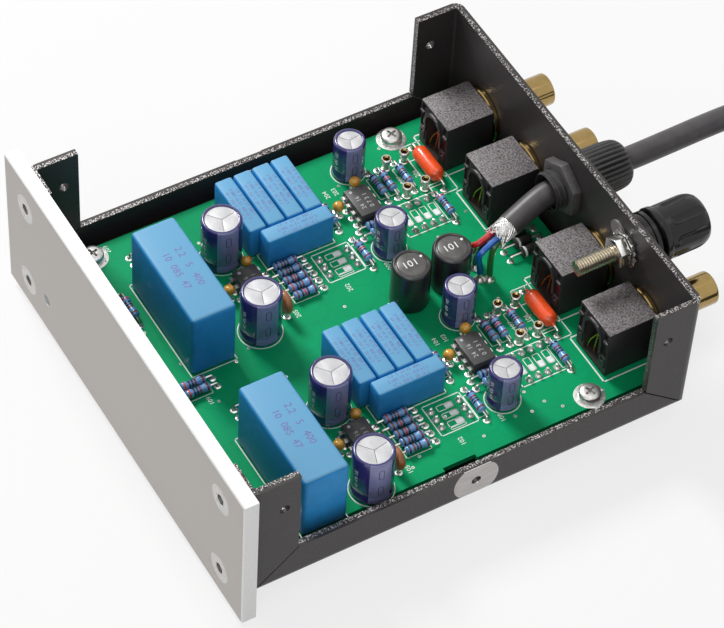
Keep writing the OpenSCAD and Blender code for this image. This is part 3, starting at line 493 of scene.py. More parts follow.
# %% [markdown]
# ## Where things stand
# The board's layout is on a 2.54 mm pitch, and each channel has the same layout
# about its own middle. These values repeat what the CAD source uses. The lists are
# counts of the pitch from that middle.
# %% Measures shared by the cells
PITCH = 2.54
CHANNEL_X, MID_Y, BOARD_TOP = 26.05, -7.35, 11.5
REAR_IN, REAR = 49.55, 51.35
SIDES = (-1, 1)
CHANNELS = tuple(zip(SIDES, ("left", "right")))
TUBE, CROSS_FILM, BIG_FILM_AT = (-2.7, 15.45), (0.2, -0.75), (3.1, -14.4)
SLIM_CANS, WIDE_CANS = [(-6, 8.45), (4.3, 7.05)], [(-2.05, -7.6), (7.4, -8.6)]
CHIPS = [(-1.1, 7.28), (2.75, -6.9)]
RESISTORS_X = [(-2.8, 12.85), (-2.8, 11), (-2.8, 9.95), (2.4, 14.4), (3.75, 4.5),
               (-1.75, 3.9)]
RESISTORS_Y = [(1.27, 7.5), (2.2, 7.5), (1.65, -2.8), (2.65, -2.8), (3.65, -2.8),
               (4.65, -2.8), (5.65, -2.8), (-6.1, -13.2), (-5.1, -13.2)]
SUPPLY_PAIR = [(0, -17.2), (1, -17.2)]
IMPEDANCE_BANK, GAIN_BANK, ROW_HALF = (2.05, 11.9), (3.55, 1.93), 3.81
JACK_OFF = 10.3
JACK_XS = [side * CHANNEL_X + step * JACK_OFF for side in SIDES for step in SIDES]


def spot(share, side=0, turned=0.0):
    """The place on the board for a layout position, in one channel or the middle."""
    return at(side * CHANNEL_X + share[0] * PITCH, MID_Y + share[1] * PITCH,
              BOARD_TOP, turned)


def both_channels(shares):
    return [spot(share, side) for side in SIDES for share in shares]


# %% [markdown]
# ## The cable and its coil
# A 6 mm round cable leaves the dome nut level, sags and lies down behind the case.
# The length that the photograph doesn't show is wound as a flat coil of two layers.
# It is one smooth path, so one curve with a round section makes it. The points
# repeat those of the CAD source.
# %% Lay the cable
CABLE_R, CABLE_OUT_Y, GLAND_Z = 3.0, 65.75, 29.3
COIL_TURNS, COIL_IN_R, COIL_STEP, COIL_LAYER = 4.5, 26.0375, 6.65, 6.5
COIL_X, COIL_Y, REST_Z = 41.0, 152.0, 4.0
STEPS_PER_TURN, COIL_TAIL = 48, 6
free_run = [
    (0, CABLE_OUT_Y, GLAND_Z), (0, 71.75, GLAND_Z), (0, 80, 29.5), (0, 88, 29.7),
    (0, 96, 29.6), (0, 102, 28.9), (0, 107.5, 27.2), (0, 112.5, 24.2),
    (0, 116.5, 20.5), (0, 119.5, 16.6), (0, 122.5, 12.8), (0, 126.5, 9),
    (0, 131, 6.3), (0, 136, 4.6), (0, 141.5, REST_Z), (0, 146, REST_Z)]


def coil_point(turn_count):
    """The cable's middle after some turns. It climbs a layer half way."""
    from_half = turn_count - COIL_TURNS / 2
    climb = min(1, max(0, 2 * from_half + 0.5))
    x, y, z = polar(COIL_IN_R + COIL_STEP * abs(from_half),
                    math.pi - FULL_TURN * turn_count,
                    REST_Z + COIL_LAYER * (1 - math.cos(math.pi * climb)) / 2)
    return Vector((COIL_X + x, COIL_Y + y, z))


coil_run = [coil_point(k / STEPS_PER_TURN)
            for k in range(int(COIL_TURNS * STEPS_PER_TURN) + 1)]
coil_run.append(coil_run[-1] - Vector((0, COIL_TAIL, 0)))
cable_run = smooth_run(free_run, 5) + coil_run
cable_metres = sum((b - a).length for a, b in zip(cable_run, cable_run[1:])) * MM
cable_curve = wire_curve("dc_lead", [[p * MM for p in cable_run]], CABLE_R * MM, 6)
cable = bpy.data.objects.new("dc_lead", cable_curve)
scene.collection.objects.link(cable)
sheath = finish("cable_sheath", (0.06, 0.054, 0.058), 0.42, spread=0.3, grain=350,
                bump=0.25)
cable_curve.materials.append(sheath)
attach(cable, "case")
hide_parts("dc_cable", "cable_coil")
print("cable in metres:", round(cable_metres, 3))

# %% [markdown]
# ## Tie and plug
# A woven strap holds the coil, and the lead ends in a round four-pole plug. The
# strap is a rounded outline with thickness. The plug is turned, with ridges on its
# boot and grip, and its contacts are short tubes in its nose.
# %% Make the tie
TIE_NEAR, TIE_FAR, TIE_TOP, TIE_T, TIE_W = 22.7375, 42.6375, 13.8, 0.7, 12.0
TIE_Y, TIE_ROUND, BUCKLE = COIL_Y + (TIE_NEAR + TIE_FAR) / 2, 2.2, (11, 9, 0.6)
strap = bmesh.new()
bmesh.ops.create_cube(strap, size=1, matrix=Matrix.Diagonal(
    (TIE_W, TIE_FAR - TIE_NEAR + TIE_T, TIE_TOP - TIE_T, 1)))
flat_ends = [f for f in strap.faces if abs(f.normal.x) > 0.9]
bmesh.ops.delete(strap, geom=flat_ends, context="FACES_ONLY")
bevelled(strap, [e for e in strap.edges if not e.is_boundary], TIE_ROUND, 5)
bmesh.ops.recalc_face_normals(strap, faces=strap.faces)
bmesh.ops.solidify(strap, geom=strap.faces[:], thickness=TIE_T)
woven = finish("woven_strap", (0.03, 0.03, 0.032), 0.85, spread=0.5, grain=1800,
               bump=0.8, bump_size=0.00012)
tie = piece("coil_tie", [
    (as_shape(strap), [at(COIL_X, TIE_Y, (TIE_T + TIE_TOP) / 2)]),
    (block(BUCKLE, 0.25), [at(COIL_X, TIE_Y + 3, TIE_TOP - 0.25)])],
    [woven], "tie_black", ["cable_tie"])


# %% Make the plug
def ridged(start, end, low, high, count, depth):
    """An outline that runs up a slope with grooves cut across it."""
    points = []
    for k in range(count):
        for share, sink in ((0.0, 0), (0.6, 0), (0.68, depth), (0.92, depth)):
            t = (k + share) / count
            points.append((start + (end - start) * t - sink, low + (high - low) * t))
    return points + [(end, high)]


plug_outline = ([(0, 0), (3.4, 0)] + ridged(3.7, 5.9, 0.2, 19, 6, 0.45)
                + [(6, 20), (8.5, 20), (9.2, 20.7), (9.3, 26), (10.1, 26.1)]
                + ridged(10.45, 10.45, 26.6, 31.4, 8, 0.35)
                + [(10.1, 31.9), (9.3, 32), (9.3, 55.2), (8.9, 56), (8, 56), (8, 60.5),
                   (7.6, 61), (7.0, 61), (6.9, 59.5), (0, 59.5)])
PLUG_X, PLUG_Y, CONTACT_R, CONTACT_Z = 82, 146, 4.5, 59.7
plug_place = (at(PLUG_X, PLUG_Y, REST_Z + COIL_LAYER)
              @ Matrix.Rotation(math.radians(90), 4, "X"))
contact_places = [plug_place @ at(0, 0, 0, 45 + 90 * k) @ at(CONTACT_R, 0, CONTACT_Z)
                  for k in range(4)]
plug_plastic = finish("plug_plastic", (0.028, 0.028, 0.03), 0.42, spread=0.25, bump=0.3)
plug_metal = finish("plug_contact", (0.75, 0.6, 0.3), 0.25, 1.0)
plug = piece("round_plug", [
    (turned(plug_outline, 48), [plug_place]),
    (ring(1.1, 1.5, -1.6, 1.2, 16), contact_places, 1),
    (block((1.6, 1.2, 9), 0.3), [plug_place @ at(0, 9.2, 40)])],
    [plug_plastic, plug_metal], "plug_black", ["cable_plug"])

# %% [markdown]
# ## The tray
# The tray is sheet steel, powder coated before its edges were sheared clean. So its
# faces are dark and softly grained, and each cut edge is bare metal with a rough
# glitter. The CAD shape is exact and stays in view. The finish tells a cut edge by
# its height or its place, and leaves a bare brushed ring round each side hole.
# %% Finish the tray
FACING = 0.9
EDGE_LOW, WALL_IN, WALL_OUT, WINDOW_HALF = 0.0152, 0.0521, 0.0538, 0.0463
SIDE_CORE, END_CORE, CORE_HALF = 0.05272, 0.05742, 0.00062
SIDE_HOLE, HOLE_RING = (0, -0.00685, 0.0112), 0.0059


def tray_finish():
    """Powder coat, with bare steel on cut edges and round the side holes."""
    mat = finish("powder_coat", (0.042, 0.036, 0.036), 0.4, spread=0.35, grain=2600,
                 bump=0.35, bump_size=0.00004, specular=0.36)
    tree, coat, places = parts_of(mat)
    where = places["Object"]
    x, y, z = add(tree, "SeparateXYZ", {0: where}).outputs
    _, normal_y, normal_z = add(tree, "SeparateXYZ", {0: places["Normal"]}).outputs

    def above(value, limit):
        return maths(tree, "GREATER_THAN", value, limit)

    def below(value, limit):
        return maths(tree, "LESS_THAN", value, limit)

    def both(first, second):
        return maths(tree, "MULTIPLY", first, second)

    def away_from(value, middle):
        return maths(tree, "ABSOLUTE", maths(tree, "SUBTRACT", value, middle))

    beside, from_middle = away_from(x, 0.0), away_from(y, MID_Y * MM)
    top_edge = both(above(normal_z, FACING), above(z, EDGE_LOW))
    tab_edge = both(both(above(beside, WALL_IN), above(away_from(normal_y, 0.0), FACING)),
                    below(from_middle, WINDOW_HALF))
    # The coat curls over the outer third of each edge, so bare metal shows inside it
    core = maths(tree, "MAXIMUM", below(away_from(beside, SIDE_CORE), CORE_HALF),
                 below(away_from(from_middle, END_CORE), CORE_HALF))
    cut = both(maths(tree, "MAXIMUM", top_edge, tab_edge), core)
    # Bare metal: dark burrs and bright facets of a tenth of a millimetre
    glitter = noise(tree, where, 3300, 3)
    facets = ramp(tree, glitter, (0.03, 0.026, 0.026), (0.5, 0.48, 0.47), 0.5, 0.64)
    bare = shader(tree, "BsdfPrincipled", {
        "Metallic": 0.8, "Roughness": 0.42, "Base Color": facets,
        "Normal": bumped(tree, glitter, 0.8, 0.0001)})
    # Brushed ring round the middle hole of each side
    flat = add(tree, "CombineXYZ", {1: y, 2: z}).outputs[0]
    from_hole = add(tree, "VectorMath", {0: flat, 1: SIDE_HOLE}, operation="DISTANCE")
    on_ring = both(above(beside, WALL_OUT), below(from_hole.outputs["Value"], HOLE_RING))
    stretched = add(tree, "Mapping", {"Vector": where, "Scale": (1, 4, 40)}).outputs[0]
    strokes = ramp(tree, noise(tree, stretched, 60, 5), (0.34, 0.32, 0.31),
                   (0.62, 0.6, 0.58))
    brushed = shader(tree, "BsdfPrincipled", {
        "Metallic": 0.6, "Roughness": 0.42, "Base Color": strokes})
    surface = coat.outputs[0]
    for share, metal in ((cut, bare), (on_ring, brushed)):
        surface = shader(tree, "MixShader", {0: share, 1: surface, 2: metal})
    wire(tree, tree.nodes["Material Output"], {"Surface": surface})
    return mat


dress("chassis_tray", tray_finish())

# %% [markdown]
# ## The front plate and its screws
# The plate is aluminium with a fine blasted face, paler on the light chamfer. The
# four countersunk screws have a hexagon socket. Each is turned and its socket is
# sunk with a boolean cutter.
# %% Finish the plate and make its screws
PLATE_FRONT, PLATE_SCREW_X, PLATE_SCREW_Z = -69.75, (-47.4, 47.4), (10.5, 36)
plate_metal = finish("blasted_aluminium", (0.74, 0.74, 0.735), 0.5, 0.35, 0.05, 1400,
                     0.3)
dress("front_plate", two_faces(plate_metal, (0.44, 0.41, 0.385), "Y", FACING))
countersunk = cut_out(turned([
    (0, 0), (3.6, 0), (3.8, 0.15), (2.05, 2.1), (1.95, 2.2), (1.95, 5.7), (1.75, 5.9),
    (0, 5.9)], 40), prism(6, 1.5, 3), [at(0, 0, -1.5)])
steel = finish("screw_steel", (0.6, 0.59, 0.57), 0.34, 0.9, 0.2, 1200, 0.2)
piece("plate_screws", [(countersunk, [along_y(x, PLATE_FRONT, z) for x in PLATE_SCREW_X
                                      for z in PLATE_SCREW_Z])],
      [steel], "screw_steel", ["front_plate_screws"])

# %% [markdown]
# ## Lamp, feet and standoffs
# The lamp is a clear 3 mm lens with two bent legs down to the board. The feet are
# soft rubber cones with a sunk screw. Both are turned. The standoffs under the
# board keep their CAD shape.
# %% Make the lamp and the feet
LAMP_X, LAMP_Z, LAMP_FRONT, FOOT_X, FOOT_Y = -37.8, 13.25, -69.15, 43, 46.7
bulb = turned([(0, 0), (0.6, 0.12), (1.1, 0.48), (1.4, 1.0), (1.5, 1.6), (1.5, 5.3),
               (1.7, 5.3), (1.7, 6.2), (0, 6.2)], 24)
lamp_legs = [[(LAMP_X + s, LAMP_FRONT + y, z) for y, z in (
    (6.1, LAMP_Z), (10, LAMP_Z), (10.35, LAMP_Z - 0.35), (10.35, BOARD_TOP))]
    for s in SIDES]
lens = finish("clear_lens", (0.75, 0.8, 0.86), 0.12, spread=0.04)
lens_tree, glass, _ = parts_of(lens)
wire(lens_tree, glass, {"Transmission Weight": 0.7})
piece("status_lamp", [(bulb, [along_y(LAMP_X, LAMP_FRONT, LAMP_Z)], 0),
                      (wires(lamp_legs, 0.24, 0), HERE, 1)],
      [lens, tin], "lamp", ["power_led"])

foot = turned([(0, 1.2), (2.6, 1.2), (2.8, 0.25), (3.2, 0), (4.5, 0), (5, 0.5),
               (5.9, 4.6), (5.8, 5), (0, 5)], 40)
foot_screw = turned([(0, 0.5), (1.7, 0.5), (2.2, 0.8), (2.3, 1.3), (0, 1.3)], 24)
foot_places = [at(sx * FOOT_X, MID_Y + sy * FOOT_Y) for sx in SIDES for sy in SIDES]
rubber = finish("foot_rubber", (0.02, 0.02, 0.02), 0.8, spread=0.4, bump=0.4)
piece("feet", [(foot, foot_places, 0), (foot_screw, foot_places, 1)],
      [rubber, steel], "foot_rubber", ["rubber_feet"])
dress("board_standoffs", finish("standoff_steel", (0.65, 0.64, 0.62), 0.3, 1.0))

# %% [markdown]
# ## The board and its print
# The board is glass fibre under glossy green solder mask. Below the mask lie areas
# of copper with thin gaps, which show as a faint tone change. White print marks the
# outline of each part. The CAD board stays in view with a green finish, and the
# print is a mesh of thin flat strokes at the places measured in the photograph.
# %% Finish the board
GAP_WIDTH, GAP_TONE = 0.035, 0.22


def board_finish():
    """Solder mask, a little darker over the gaps in the copper."""
    mat = finish("solder_mask", (0.002, 0.345, 0.13), 0.42, spread=0.1, grain=60,
                 specular=0.1)
    tree, mask, places = parts_of(mat)
    copper = add(tree, "TexVoronoi", {"Vector": places["Object"], "Scale": 110},
                 feature="DISTANCE_TO_EDGE").outputs["Distance"]
    gap = maths(tree, "LESS_THAN", copper, GAP_WIDTH)
    tint(mat, maths(tree, "MULTIPLY", gap, GAP_TONE), (0.004, 0.25, 0.105))
    wire(tree, mask, {"Normal": bumped(tree, copper, 0.12, 0.00003)})
    return mat


dress("circuit_board", board_finish())

# %% Print the outlines
PRINT_T, BOLD, LINE, THIN = 0.03, 0.36, 0.26, 0.2
OPEN_HALF, OPEN_FRONT, OPEN_REAR = 7.5, 34.2, 47.4
board_white = finish("board_print", (0.86, 0.9, 0.87), 0.5, spread=0.06, grain=1500)
outlines = [(CROSS_FILM, 2.6, 9.3), (BIG_FILM_AT, 15.8, 6), (IMPEDANCE_BANK, 5.1, 6.2),
            (GAIN_BANK, 4.7, 5), ((3.65, -2.8), 6.2, 3.3, THIN)]
outlines += [(share, 3.6, 1.3, THIN) for share in RESISTORS_X]
outlines += [(share, 5.2, 2.9, THIN) for share in CHIPS]
number_at = [(11.2, -6.4), (17, 3.3), (-11, 15.4), (-11, 13), (18.3, -11.6),
             (-6.9, 35.9), (-6.9, 31.6), (15.5, 15), (-20.5, -42)]


def line(bm, corners, width=LINE):
    """Flat printed strokes from one place on the board to the next."""
    for start, end in zip(corners, corners[1:]):
        start, end = Vector((*start, 0)), Vector((*end, 0))
        along, middle = end - start, (start + end) / 2
        stamp(bm, block((along.length + width, width, PRINT_T)),
              [at(middle.x, middle.y, BOARD_TOP, bearing(along))])


def box(bm, x, y, half_x, half_y, width=LINE):
    signs = ((-1, -1), (1, -1), (1, 1), (-1, 1), (-1, -1))
    line(bm, [(x + sx * half_x, y + sy * half_y) for sx, sy in signs], width)


def patch(bm, x, y, half_x, half_y):
    stamp(bm, block((2 * half_x, 2 * half_y, PRINT_T)), [at(x, y, BOARD_TOP)])


def on_channel(share, side):
    return spot(share, side).translation.xy


bm = bmesh.new()
# Open boxes in front of the sockets
for x in JACK_XS:
    line(bm, [(x + s * OPEN_HALF, y) for s, y in (
        (-1, OPEN_REAR), (-1, OPEN_FRONT), (1, OPEN_FRONT), (1, OPEN_REAR))], BOLD)
for side in SIDES:
    x, y = on_channel(TUBE, side)
    box(bm, x - 0.1, y + 0.3, 9, 3)
    for mark, end in ((-4.2, -0.9), (3, -0.9), (4.8, 1), (5.7, 1)):
        line(bm, [(x + mark, y - 2.5), (x + mark, y + end)])
    for share, *sizes in outlines:
        box(bm, *on_channel(share, side), *sizes)
    # Outlines with one filled end show how each switch can be set
    x, y = on_channel(IMPEDANCE_BANK, side)
    for k in range(4):
        row = y + (k - 1.5) * PITCH
        box(bm, x - 0.1, row, 2, 0.8, THIN)
        patch(bm, x + 0.95, row, 0.95, 0.8)
    x, y = on_channel(GAIN_BANK, side)
    for k in range(3):
        row = x + (k - 1) * PITCH
        box(bm, row, y, 0.8, 2, THIN)
        patch(bm, row, y + 1, 0.8, 1)
    box(bm, x + 3.85, y, 0.3, 2, 0.18)
    for shares, radius, steps in ((SLIM_CANS, 4.2, 40), (WIDE_CANS, 5.25, 44)):
        stamp(bm, ring(radius, radius + 0.25, 0, PRINT_T, steps),
              [spot(share, side) for share in shares])
    # Plain numbers, which read from the rear
    for number, (x, y) in enumerate(number_at, 101 if side > 0 else 201):
        stamp(bm, lettering(str(number), 1.7, PRINT_T),
              [at(side * CHANNEL_X + x, MID_Y + y, BOARD_TOP + PRINT_T / 2, 180)])
for share in SUPPLY_PAIR:
    box(bm, *on_channel(share, 0), 1.2, 3.4, THIN)
settle("board_print", bm, [board_white], "board", sharp=60)

# %% [markdown]
# ## Board screws
# Pan head screws with a cross recess hold the board down through tinned rings. The
# head is turned and two crossed blocks cut its recess. The ring is dotted with small
# plated holes.
# %% Make the board screws
BOARD_SCREW_X, BOARD_SCREW_Y, CROSS_AT, DOTS_R = 18, (-18.2, 14.3), (20, 110), 3.25
pan_head = turned([(0, -4.7), (1.4, -4.7), (1.4, 0), (2.7, 0), (2.75, 0.12), (2.72, 1.2),
                   (2.6, 1.55), (2.3, 1.82), (1.7, 1.95), (1.0, 2), (0, 2)], 40)
for angle in CROSS_AT:
    pan_head = cut_out(pan_head, block((2.9, 0.62, 2), 0.1, 1), [at(0, 0, 1.0, angle)])
screw_ring = turned([(1.65, 0), (3.7, 0), (3.8, 0.03), (3.6, 0.06), (2.7, 0.12),
                     (1.65, 0.12), (1.65, 0)], 40)
screw_spots = [spot((sx * BOARD_SCREW_X, y)) for sx in SIDES for y in BOARD_SCREW_Y]
dots = [p @ at(0, 0, 0, 45 * k) @ at(DOTS_R, 0) for p in screw_spots for k in range(8)]
solder = finish("solder", (0.78, 0.77, 0.74), 0.3, 0.9, 0.3, 1300, 0.5, 0.00006)
piece("board_screw_set", [(pan_head, screw_spots, 0), (screw_ring, screw_spots, 1),
                          (rod(0.3, 0.1, 0.16, 10), dots, 2)],
      [steel, solder, board_white], "screw_steel", ["board_screws"])

# %% [markdown]
# ## Film capacitors
# A film capacitor is a moulded blue case with soft edges, faintly printed in violet
# on its top. Two big ones stand at the front, and each channel has four small ones
# side by side and a fifth across. The case is a bevelled block, and its plain
# figures are thin lettering laid on it. The case's upward faces are painted a paler
# blue, as painted light from above.
# %% Make the film capacitors
BIG_FILM, SMALL_FILM = (31, 11.5, 19.5), (18, 4.6, 9.3)
film_row = [(-4.4, 1.7 - 2 * k) for k in range(4)]
# The upward faces are painted a paler, greyer blue: a painted highlight for the light from
# above.
film_blue = two_faces(finish("film_case_painted_top_light", (0.03, 0.28, 0.64), 0.4, spread=0.1, grain=500,
                             bump=0.15, specular=0.15), (0.15, 0.38, 0.6), "Z", 0.75)
violet_print = finish("violet_print", (0.17, 0.15, 0.42), 0.5, spread=0.3, grain=3000)


def printed_rows(rows, size, gap, height, places, ink):
    """Stamps of figures on the top of a part, one row under the other."""
    middle = (len(rows) - 1) / 2
    return [(lettering(words, size),
             [place @ at(0, (middle - k) * gap, height) for place in places], ink)
            for k, words in enumerate(rows)]


big_places = both_channels([BIG_FILM_AT])
piece("big_film_set", [(block(BIG_FILM, 1.0, 4), big_places, 0)] + printed_rows(
    ["2.2   5   400", "10  085  47"], 2.6, 3.4, BIG_FILM[2], big_places, 1),
    [film_blue, violet_print], "film_blue", ["big_film_capacitors"])
for side, channel in CHANNELS:
    places = [spot(share, side) for share in film_row] + [spot(CROSS_FILM, side, 90)]
    piece("film_set_" + channel, [(block(SMALL_FILM, 0.6, 3), places, 0)] + printed_rows(
        ["1.0  5  63 22  085 1", "2 085 10 31  400 63 5", "47 1 250 5  20 16 2"],
        1.2, 1.35, SMALL_FILM[2], places, 1),
        [film_blue, violet_print], "film_blue", ["film_capacitors_" + channel])

# %% [markdown]
# ## Electrolytic capacitors
# An aluminium can wears a shrunk dark blue sleeve that curls over its rim. The bare
# lid is scored so that it opens under pressure: three slightly raised petals, with a
# dark line painted in each valley between them as the shade in its score. A pale
# stripe with long rounded marks shows the minus leg. The can is turned, its lid is
# raised and its stripe painted by angle, and the marks are thin loops on the sleeve.
# %% Make the electrolytic capacitors
LID_IN, STRIPE_AT, STRIPE_HALF = 0.95, -8, 34
PETAL_FROM, PETAL_WIDE, FIGURES_AT = 20, 120, -78
sleeve = finish("can_sleeve", (0.034, 0.027, 0.16), 0.24, spread=0.2, coat=0.4)
stripe = finish("can_stripe", (0.21, 0.22, 0.42), 0.32, spread=0.1, coat=0.2)
can_metal = finish("can_lid", (0.56, 0.56, 0.57), 0.38, 0.45, 0.12, 600, 0.2)
score_shade_grey = finish("score_shade_grey", (0.2, 0.2, 0.21), 0.5, 0.3)


def can_shape(diameter, height):
    """A can with its sleeve, lid, painted shade in the scores, stripe marks and figures.
    """
    r = diameter / 2
    lid = r - LID_IN
    outline = [(0, 0), (r - 0.6, 0), (r - 0.15, 0.15), (r, 0.6), (r, 1.9),
               (r - 0.28, 2.35), (r - 0.3, 2.6), (r - 0.28, 2.85), (r, 3.3),
               (r, height - 0.8), (r - 0.1, height - 0.35), (r - 0.35, height - 0.08),
               (r - 0.65, height), (r - 0.85, height - 0.06)]
    outline += [(lid * t, height - 0.3) for t in (1, 0.9, 0.75, 0.5, 0.25, 0)]

    def paint(c):
        reach = from_axis(c)
        if c.z > height - 0.5 and reach < lid:
            return 2
        on_stripe = abs(bearing(c) - STRIPE_AT) < STRIPE_HALF
        return int(on_stripe and reach > r - 0.6 and 0.6 < c.z < height - 0.1)

    bm = as_bm(turned(outline, 72, paint))
    for v in bm.verts:
        t = from_axis(v.co) / lid
        if v.co.z > height - 0.5 and t < 0.98:
            petal = (bearing(v.co) + PETAL_FROM) % PETAL_WIDE - PETAL_WIDE / 2
            v.co.z += 0.4 * t * (math.cos(math.radians(petal)) - 0.75) * (1 - t ** 6)
    # Dark grey lines along the valleys: painted shade for the scored grooves.
    score_shade_runs = [[polar(lid * t, math.radians(PETAL_WIDE * k - PETAL_FROM),
                     height - 0.29 - 0.1 * t * (1 - t ** 6))
               for t in (0, 0.2, 0.4, 0.6, 0.8, 0.92)] for k in range(3)]
    stamp(bm, wires(score_shade_runs, 0.07, 0), HERE, 5)
    # Rounded marks down the stripe, and figures up the sleeve beside it
    marks = []
    for share in (0.36, 0.76):
        loop = []
        for step in (*range(25), 0):
            a = FULL_TURN * (step + 0.5) / 25
            rise = 0.6 * math.sin(a) + math.copysign(1.0, math.sin(a))
            loop.append(polar(r, 0.6 * math.cos(a) / r + math.radians(STRIPE_AT),
                              height * share + rise))
        marks.append(loop)
    stamp(bm, wires(marks, 0.075, 0), HERE, 3)
    words = as_bm(lettering("63  470  105", 1.3))
    for v in words.verts:
        v.co = polar(r + 0.02 + v.co.z, math.radians(FIGURES_AT) - v.co.y / r,
                     height / 2 + 0.6 + v.co.x * 0.9)
    stamp(bm, as_shape(words), HERE, 4)
    return as_shape(bm)


cans = ((can_shape(8, 11.7), SLIM_CANS), (can_shape(10, 14.5), WIDE_CANS))
for side, channel in CHANNELS:
    piece("electrolytic_set_" + channel,
          [(can, [spot(share, side) for share in shares]) for can, shares in cans],
          [sleeve, stripe, can_metal, dark_print, white_print, score_shade_grey],
          "can_sleeve", ["electrolytics_" + channel])

# %% [markdown]
# ## Supply chokes
# Two chokes stand in the middle: ferrite cores in black shrunk tube, with a plain
# value and a dot on the top. They are turned, with a groove where the tube's edge
# folds over the core.
# %% Make the chokes
choke_sleeve = finish("choke_sleeve", (0.022, 0.022, 0.023), 0.32, spread=0.3, coat=0.3)
choke_top = finish("choke_core", (0.12, 0.115, 0.11), 0.28, 0.2, 0.35, 500, 0.2)
choke = turned([(0, 0), (4.5, 0), (4.75, 0.25), (4.8, 0.8), (4.8, 11.9), (4.7, 12.4),
                (4.4, 12.7), (4.1, 12.75), (3.95, 12.6), (3.85, 12.4), (3.7, 12.45),
                (3.5, 12.7), (3.3, 12.78), (0, 12.78)], 64,
               lambda c: int(c.z > 12.3 and from_axis(c) < 4.0))
chokes = [spot((0.25, 5.55)), spot((0.25, 9.95))]
piece("choke_set", [
    (choke, chokes),
    (lettering("101", 2.8, 0.04), [p @ at(-0.1, -0.3, 12.8, 90) for p in chokes], 2),
    (rod(0.36, 0, 0.03, 16), [p @ at(-1.1, 3.1, 12.78) for p in chokes], 2)],
    [choke_sleeve, choke_top, white_print], "choke_black", ["supply_chokes"])

# %% [markdown]
# ## Tubular, bead and disc capacitors
# The orange tubes are dipped in glossy lacquer with rounded ends, and their leads
# bend down to the board. The amber beads and the tan discs are dipped as well. All
# are turned bodies on thin tinned wire.
# %% Make the small capacitors
TUBE_SPAN, TUBE_H, BEAD_H, BEAD_HALF = 15.24, 2.1, 1.2, 0.8
DISC_H, DISC_HALF, THICK_LEAD, LEAD, THIN_LEAD = 4.2, 1.27, 0.32, 0.29, 0.25
solder_spots = []


def note_leads(places, half):
    """Notes where both leads of each part meet the board."""
    solder_spots.extend(p @ at(s * half, 0) for p in places for s in SIDES)


def legs(points):
    """Two runs of wire that mirror each other, from (reach, height) points."""
    return [[(s * x, 0, z) for x, z in points] for s in SIDES]


def bent_legs(span, height, inner):
    """Both legs of a part that lies along X at this height."""
    half = span / 2
    return legs([(half, 0), (half, height - 0.55), (half - 0.08, height - 0.25),
                 (half - 0.28, height - 0.06), (half - 0.55, height), (inner, height)])


def lying(height):
    """A turned shape laid along X with its middle at this height."""
    return at(0, 0, height) @ Matrix.Rotation(math.radians(90), 4, "Y")


orange = finish("orange_lacquer", (0.95, 0.1, 0.02), 0.2, spread=0.15, coat=0.3)
tube = turned(both_ends([(2.1, 3.4), (2.05, 4.1), (1.7, 4.8), (1.1, 5.2), (0.5, 5.5),
                         (0.42, 6.2), (0, 6.3)]), 36)
tubes = both_channels([TUBE])
note_leads(tubes, TUBE_SPAN / 2)
piece("tubular_set", [(tube, [p @ lying(TUBE_H) for p in tubes], 0),
                      (wires(bent_legs(TUBE_SPAN, TUBE_H, 6), THICK_LEAD), tubes, 1)],
      [orange, tin], "tube_orange", ["tubular_capacitors"])

amber = finish("amber_dip", (0.75, 0.36, 0.03), 0.25, spread=0.25, grain=400, coat=0.5)
tan = finish("tan_dip", (0.42, 0.15, 0.045), 0.35, spread=0.3, grain=500, coat=0.2)
bead = turned([(0, 0), (0.45, 0.08), (0.95, 0.4), (1.3, 0.95), (1.4, 1.5), (1.28, 2.1),
               (0.9, 2.6), (0.45, 2.78), (0, 2.8)], 28)
bead_legs = wires(legs([(BEAD_HALF, 0), (BEAD_HALF, 0.7), (0.72, BEAD_H),
                        (0.7, BEAD_H + 1)]), THIN_LEAD)
disc = turned(both_ends([(2.95, 0.45), (2.6, 0.85), (1.6, 1.05), (0, 1.0)], [(3, 0)]),
              40)
disc_legs = wires(legs([(DISC_HALF, 0), (DISC_HALF, 2.4)]), 0.3)
beads = both_channels([(-1.75, 4.9), (-3.77, 7.87), (0.15, -6.1), (2.5, -9.2)])
discs = both_channels([(6.6, -5.6)])
note_leads(beads, BEAD_HALF)
note_leads(discs, DISC_HALF)
piece("dipped_set", [
    (bead, [p @ at(0, 0, BEAD_H) for p in beads], 0), (bead_legs, beads, 2),
    (disc, [p @ along_y(0, 0, DISC_H) for p in discs], 1), (disc_legs, discs, 2)],
    [amber, tan, tin], "bead_amber", ["ceramic_capacitors"])

# %% [markdown]
# ## Chips
# Each eight-legged chip is a moulded block with a notch at one end, drawn apart from
# its row of tinned legs. The legs are narrow strips that come out level and turn
# down, so two small boxes give each of them.
# %% Make the chips
CHIP, CHIP_LIFT = (9.4, 6.3, 3.2), 0.5
CHIP_MID, CHIP_TOP = CHIP_LIFT + CHIP[2] / 2, CHIP_LIFT + CHIP[2]
TAPER_X, TAPER_Y, CHIP_ROUND, LEG_OUT, LEG_Z = 0.965, 0.94, 0.14, 3.45, 1.86
chip_plastic = finish("chip_plastic", (0.045, 0.042, 0.042), 0.42, spread=0.2,
                      grain=2500, bump=0.3)
chip_ink = finish("chip_ink", (0.5, 0.5, 0.5), 0.5, spread=0.3, grain=2500)


def all_of(bm):
    return bm.verts[:] + bm.edges[:] + bm.faces[:]


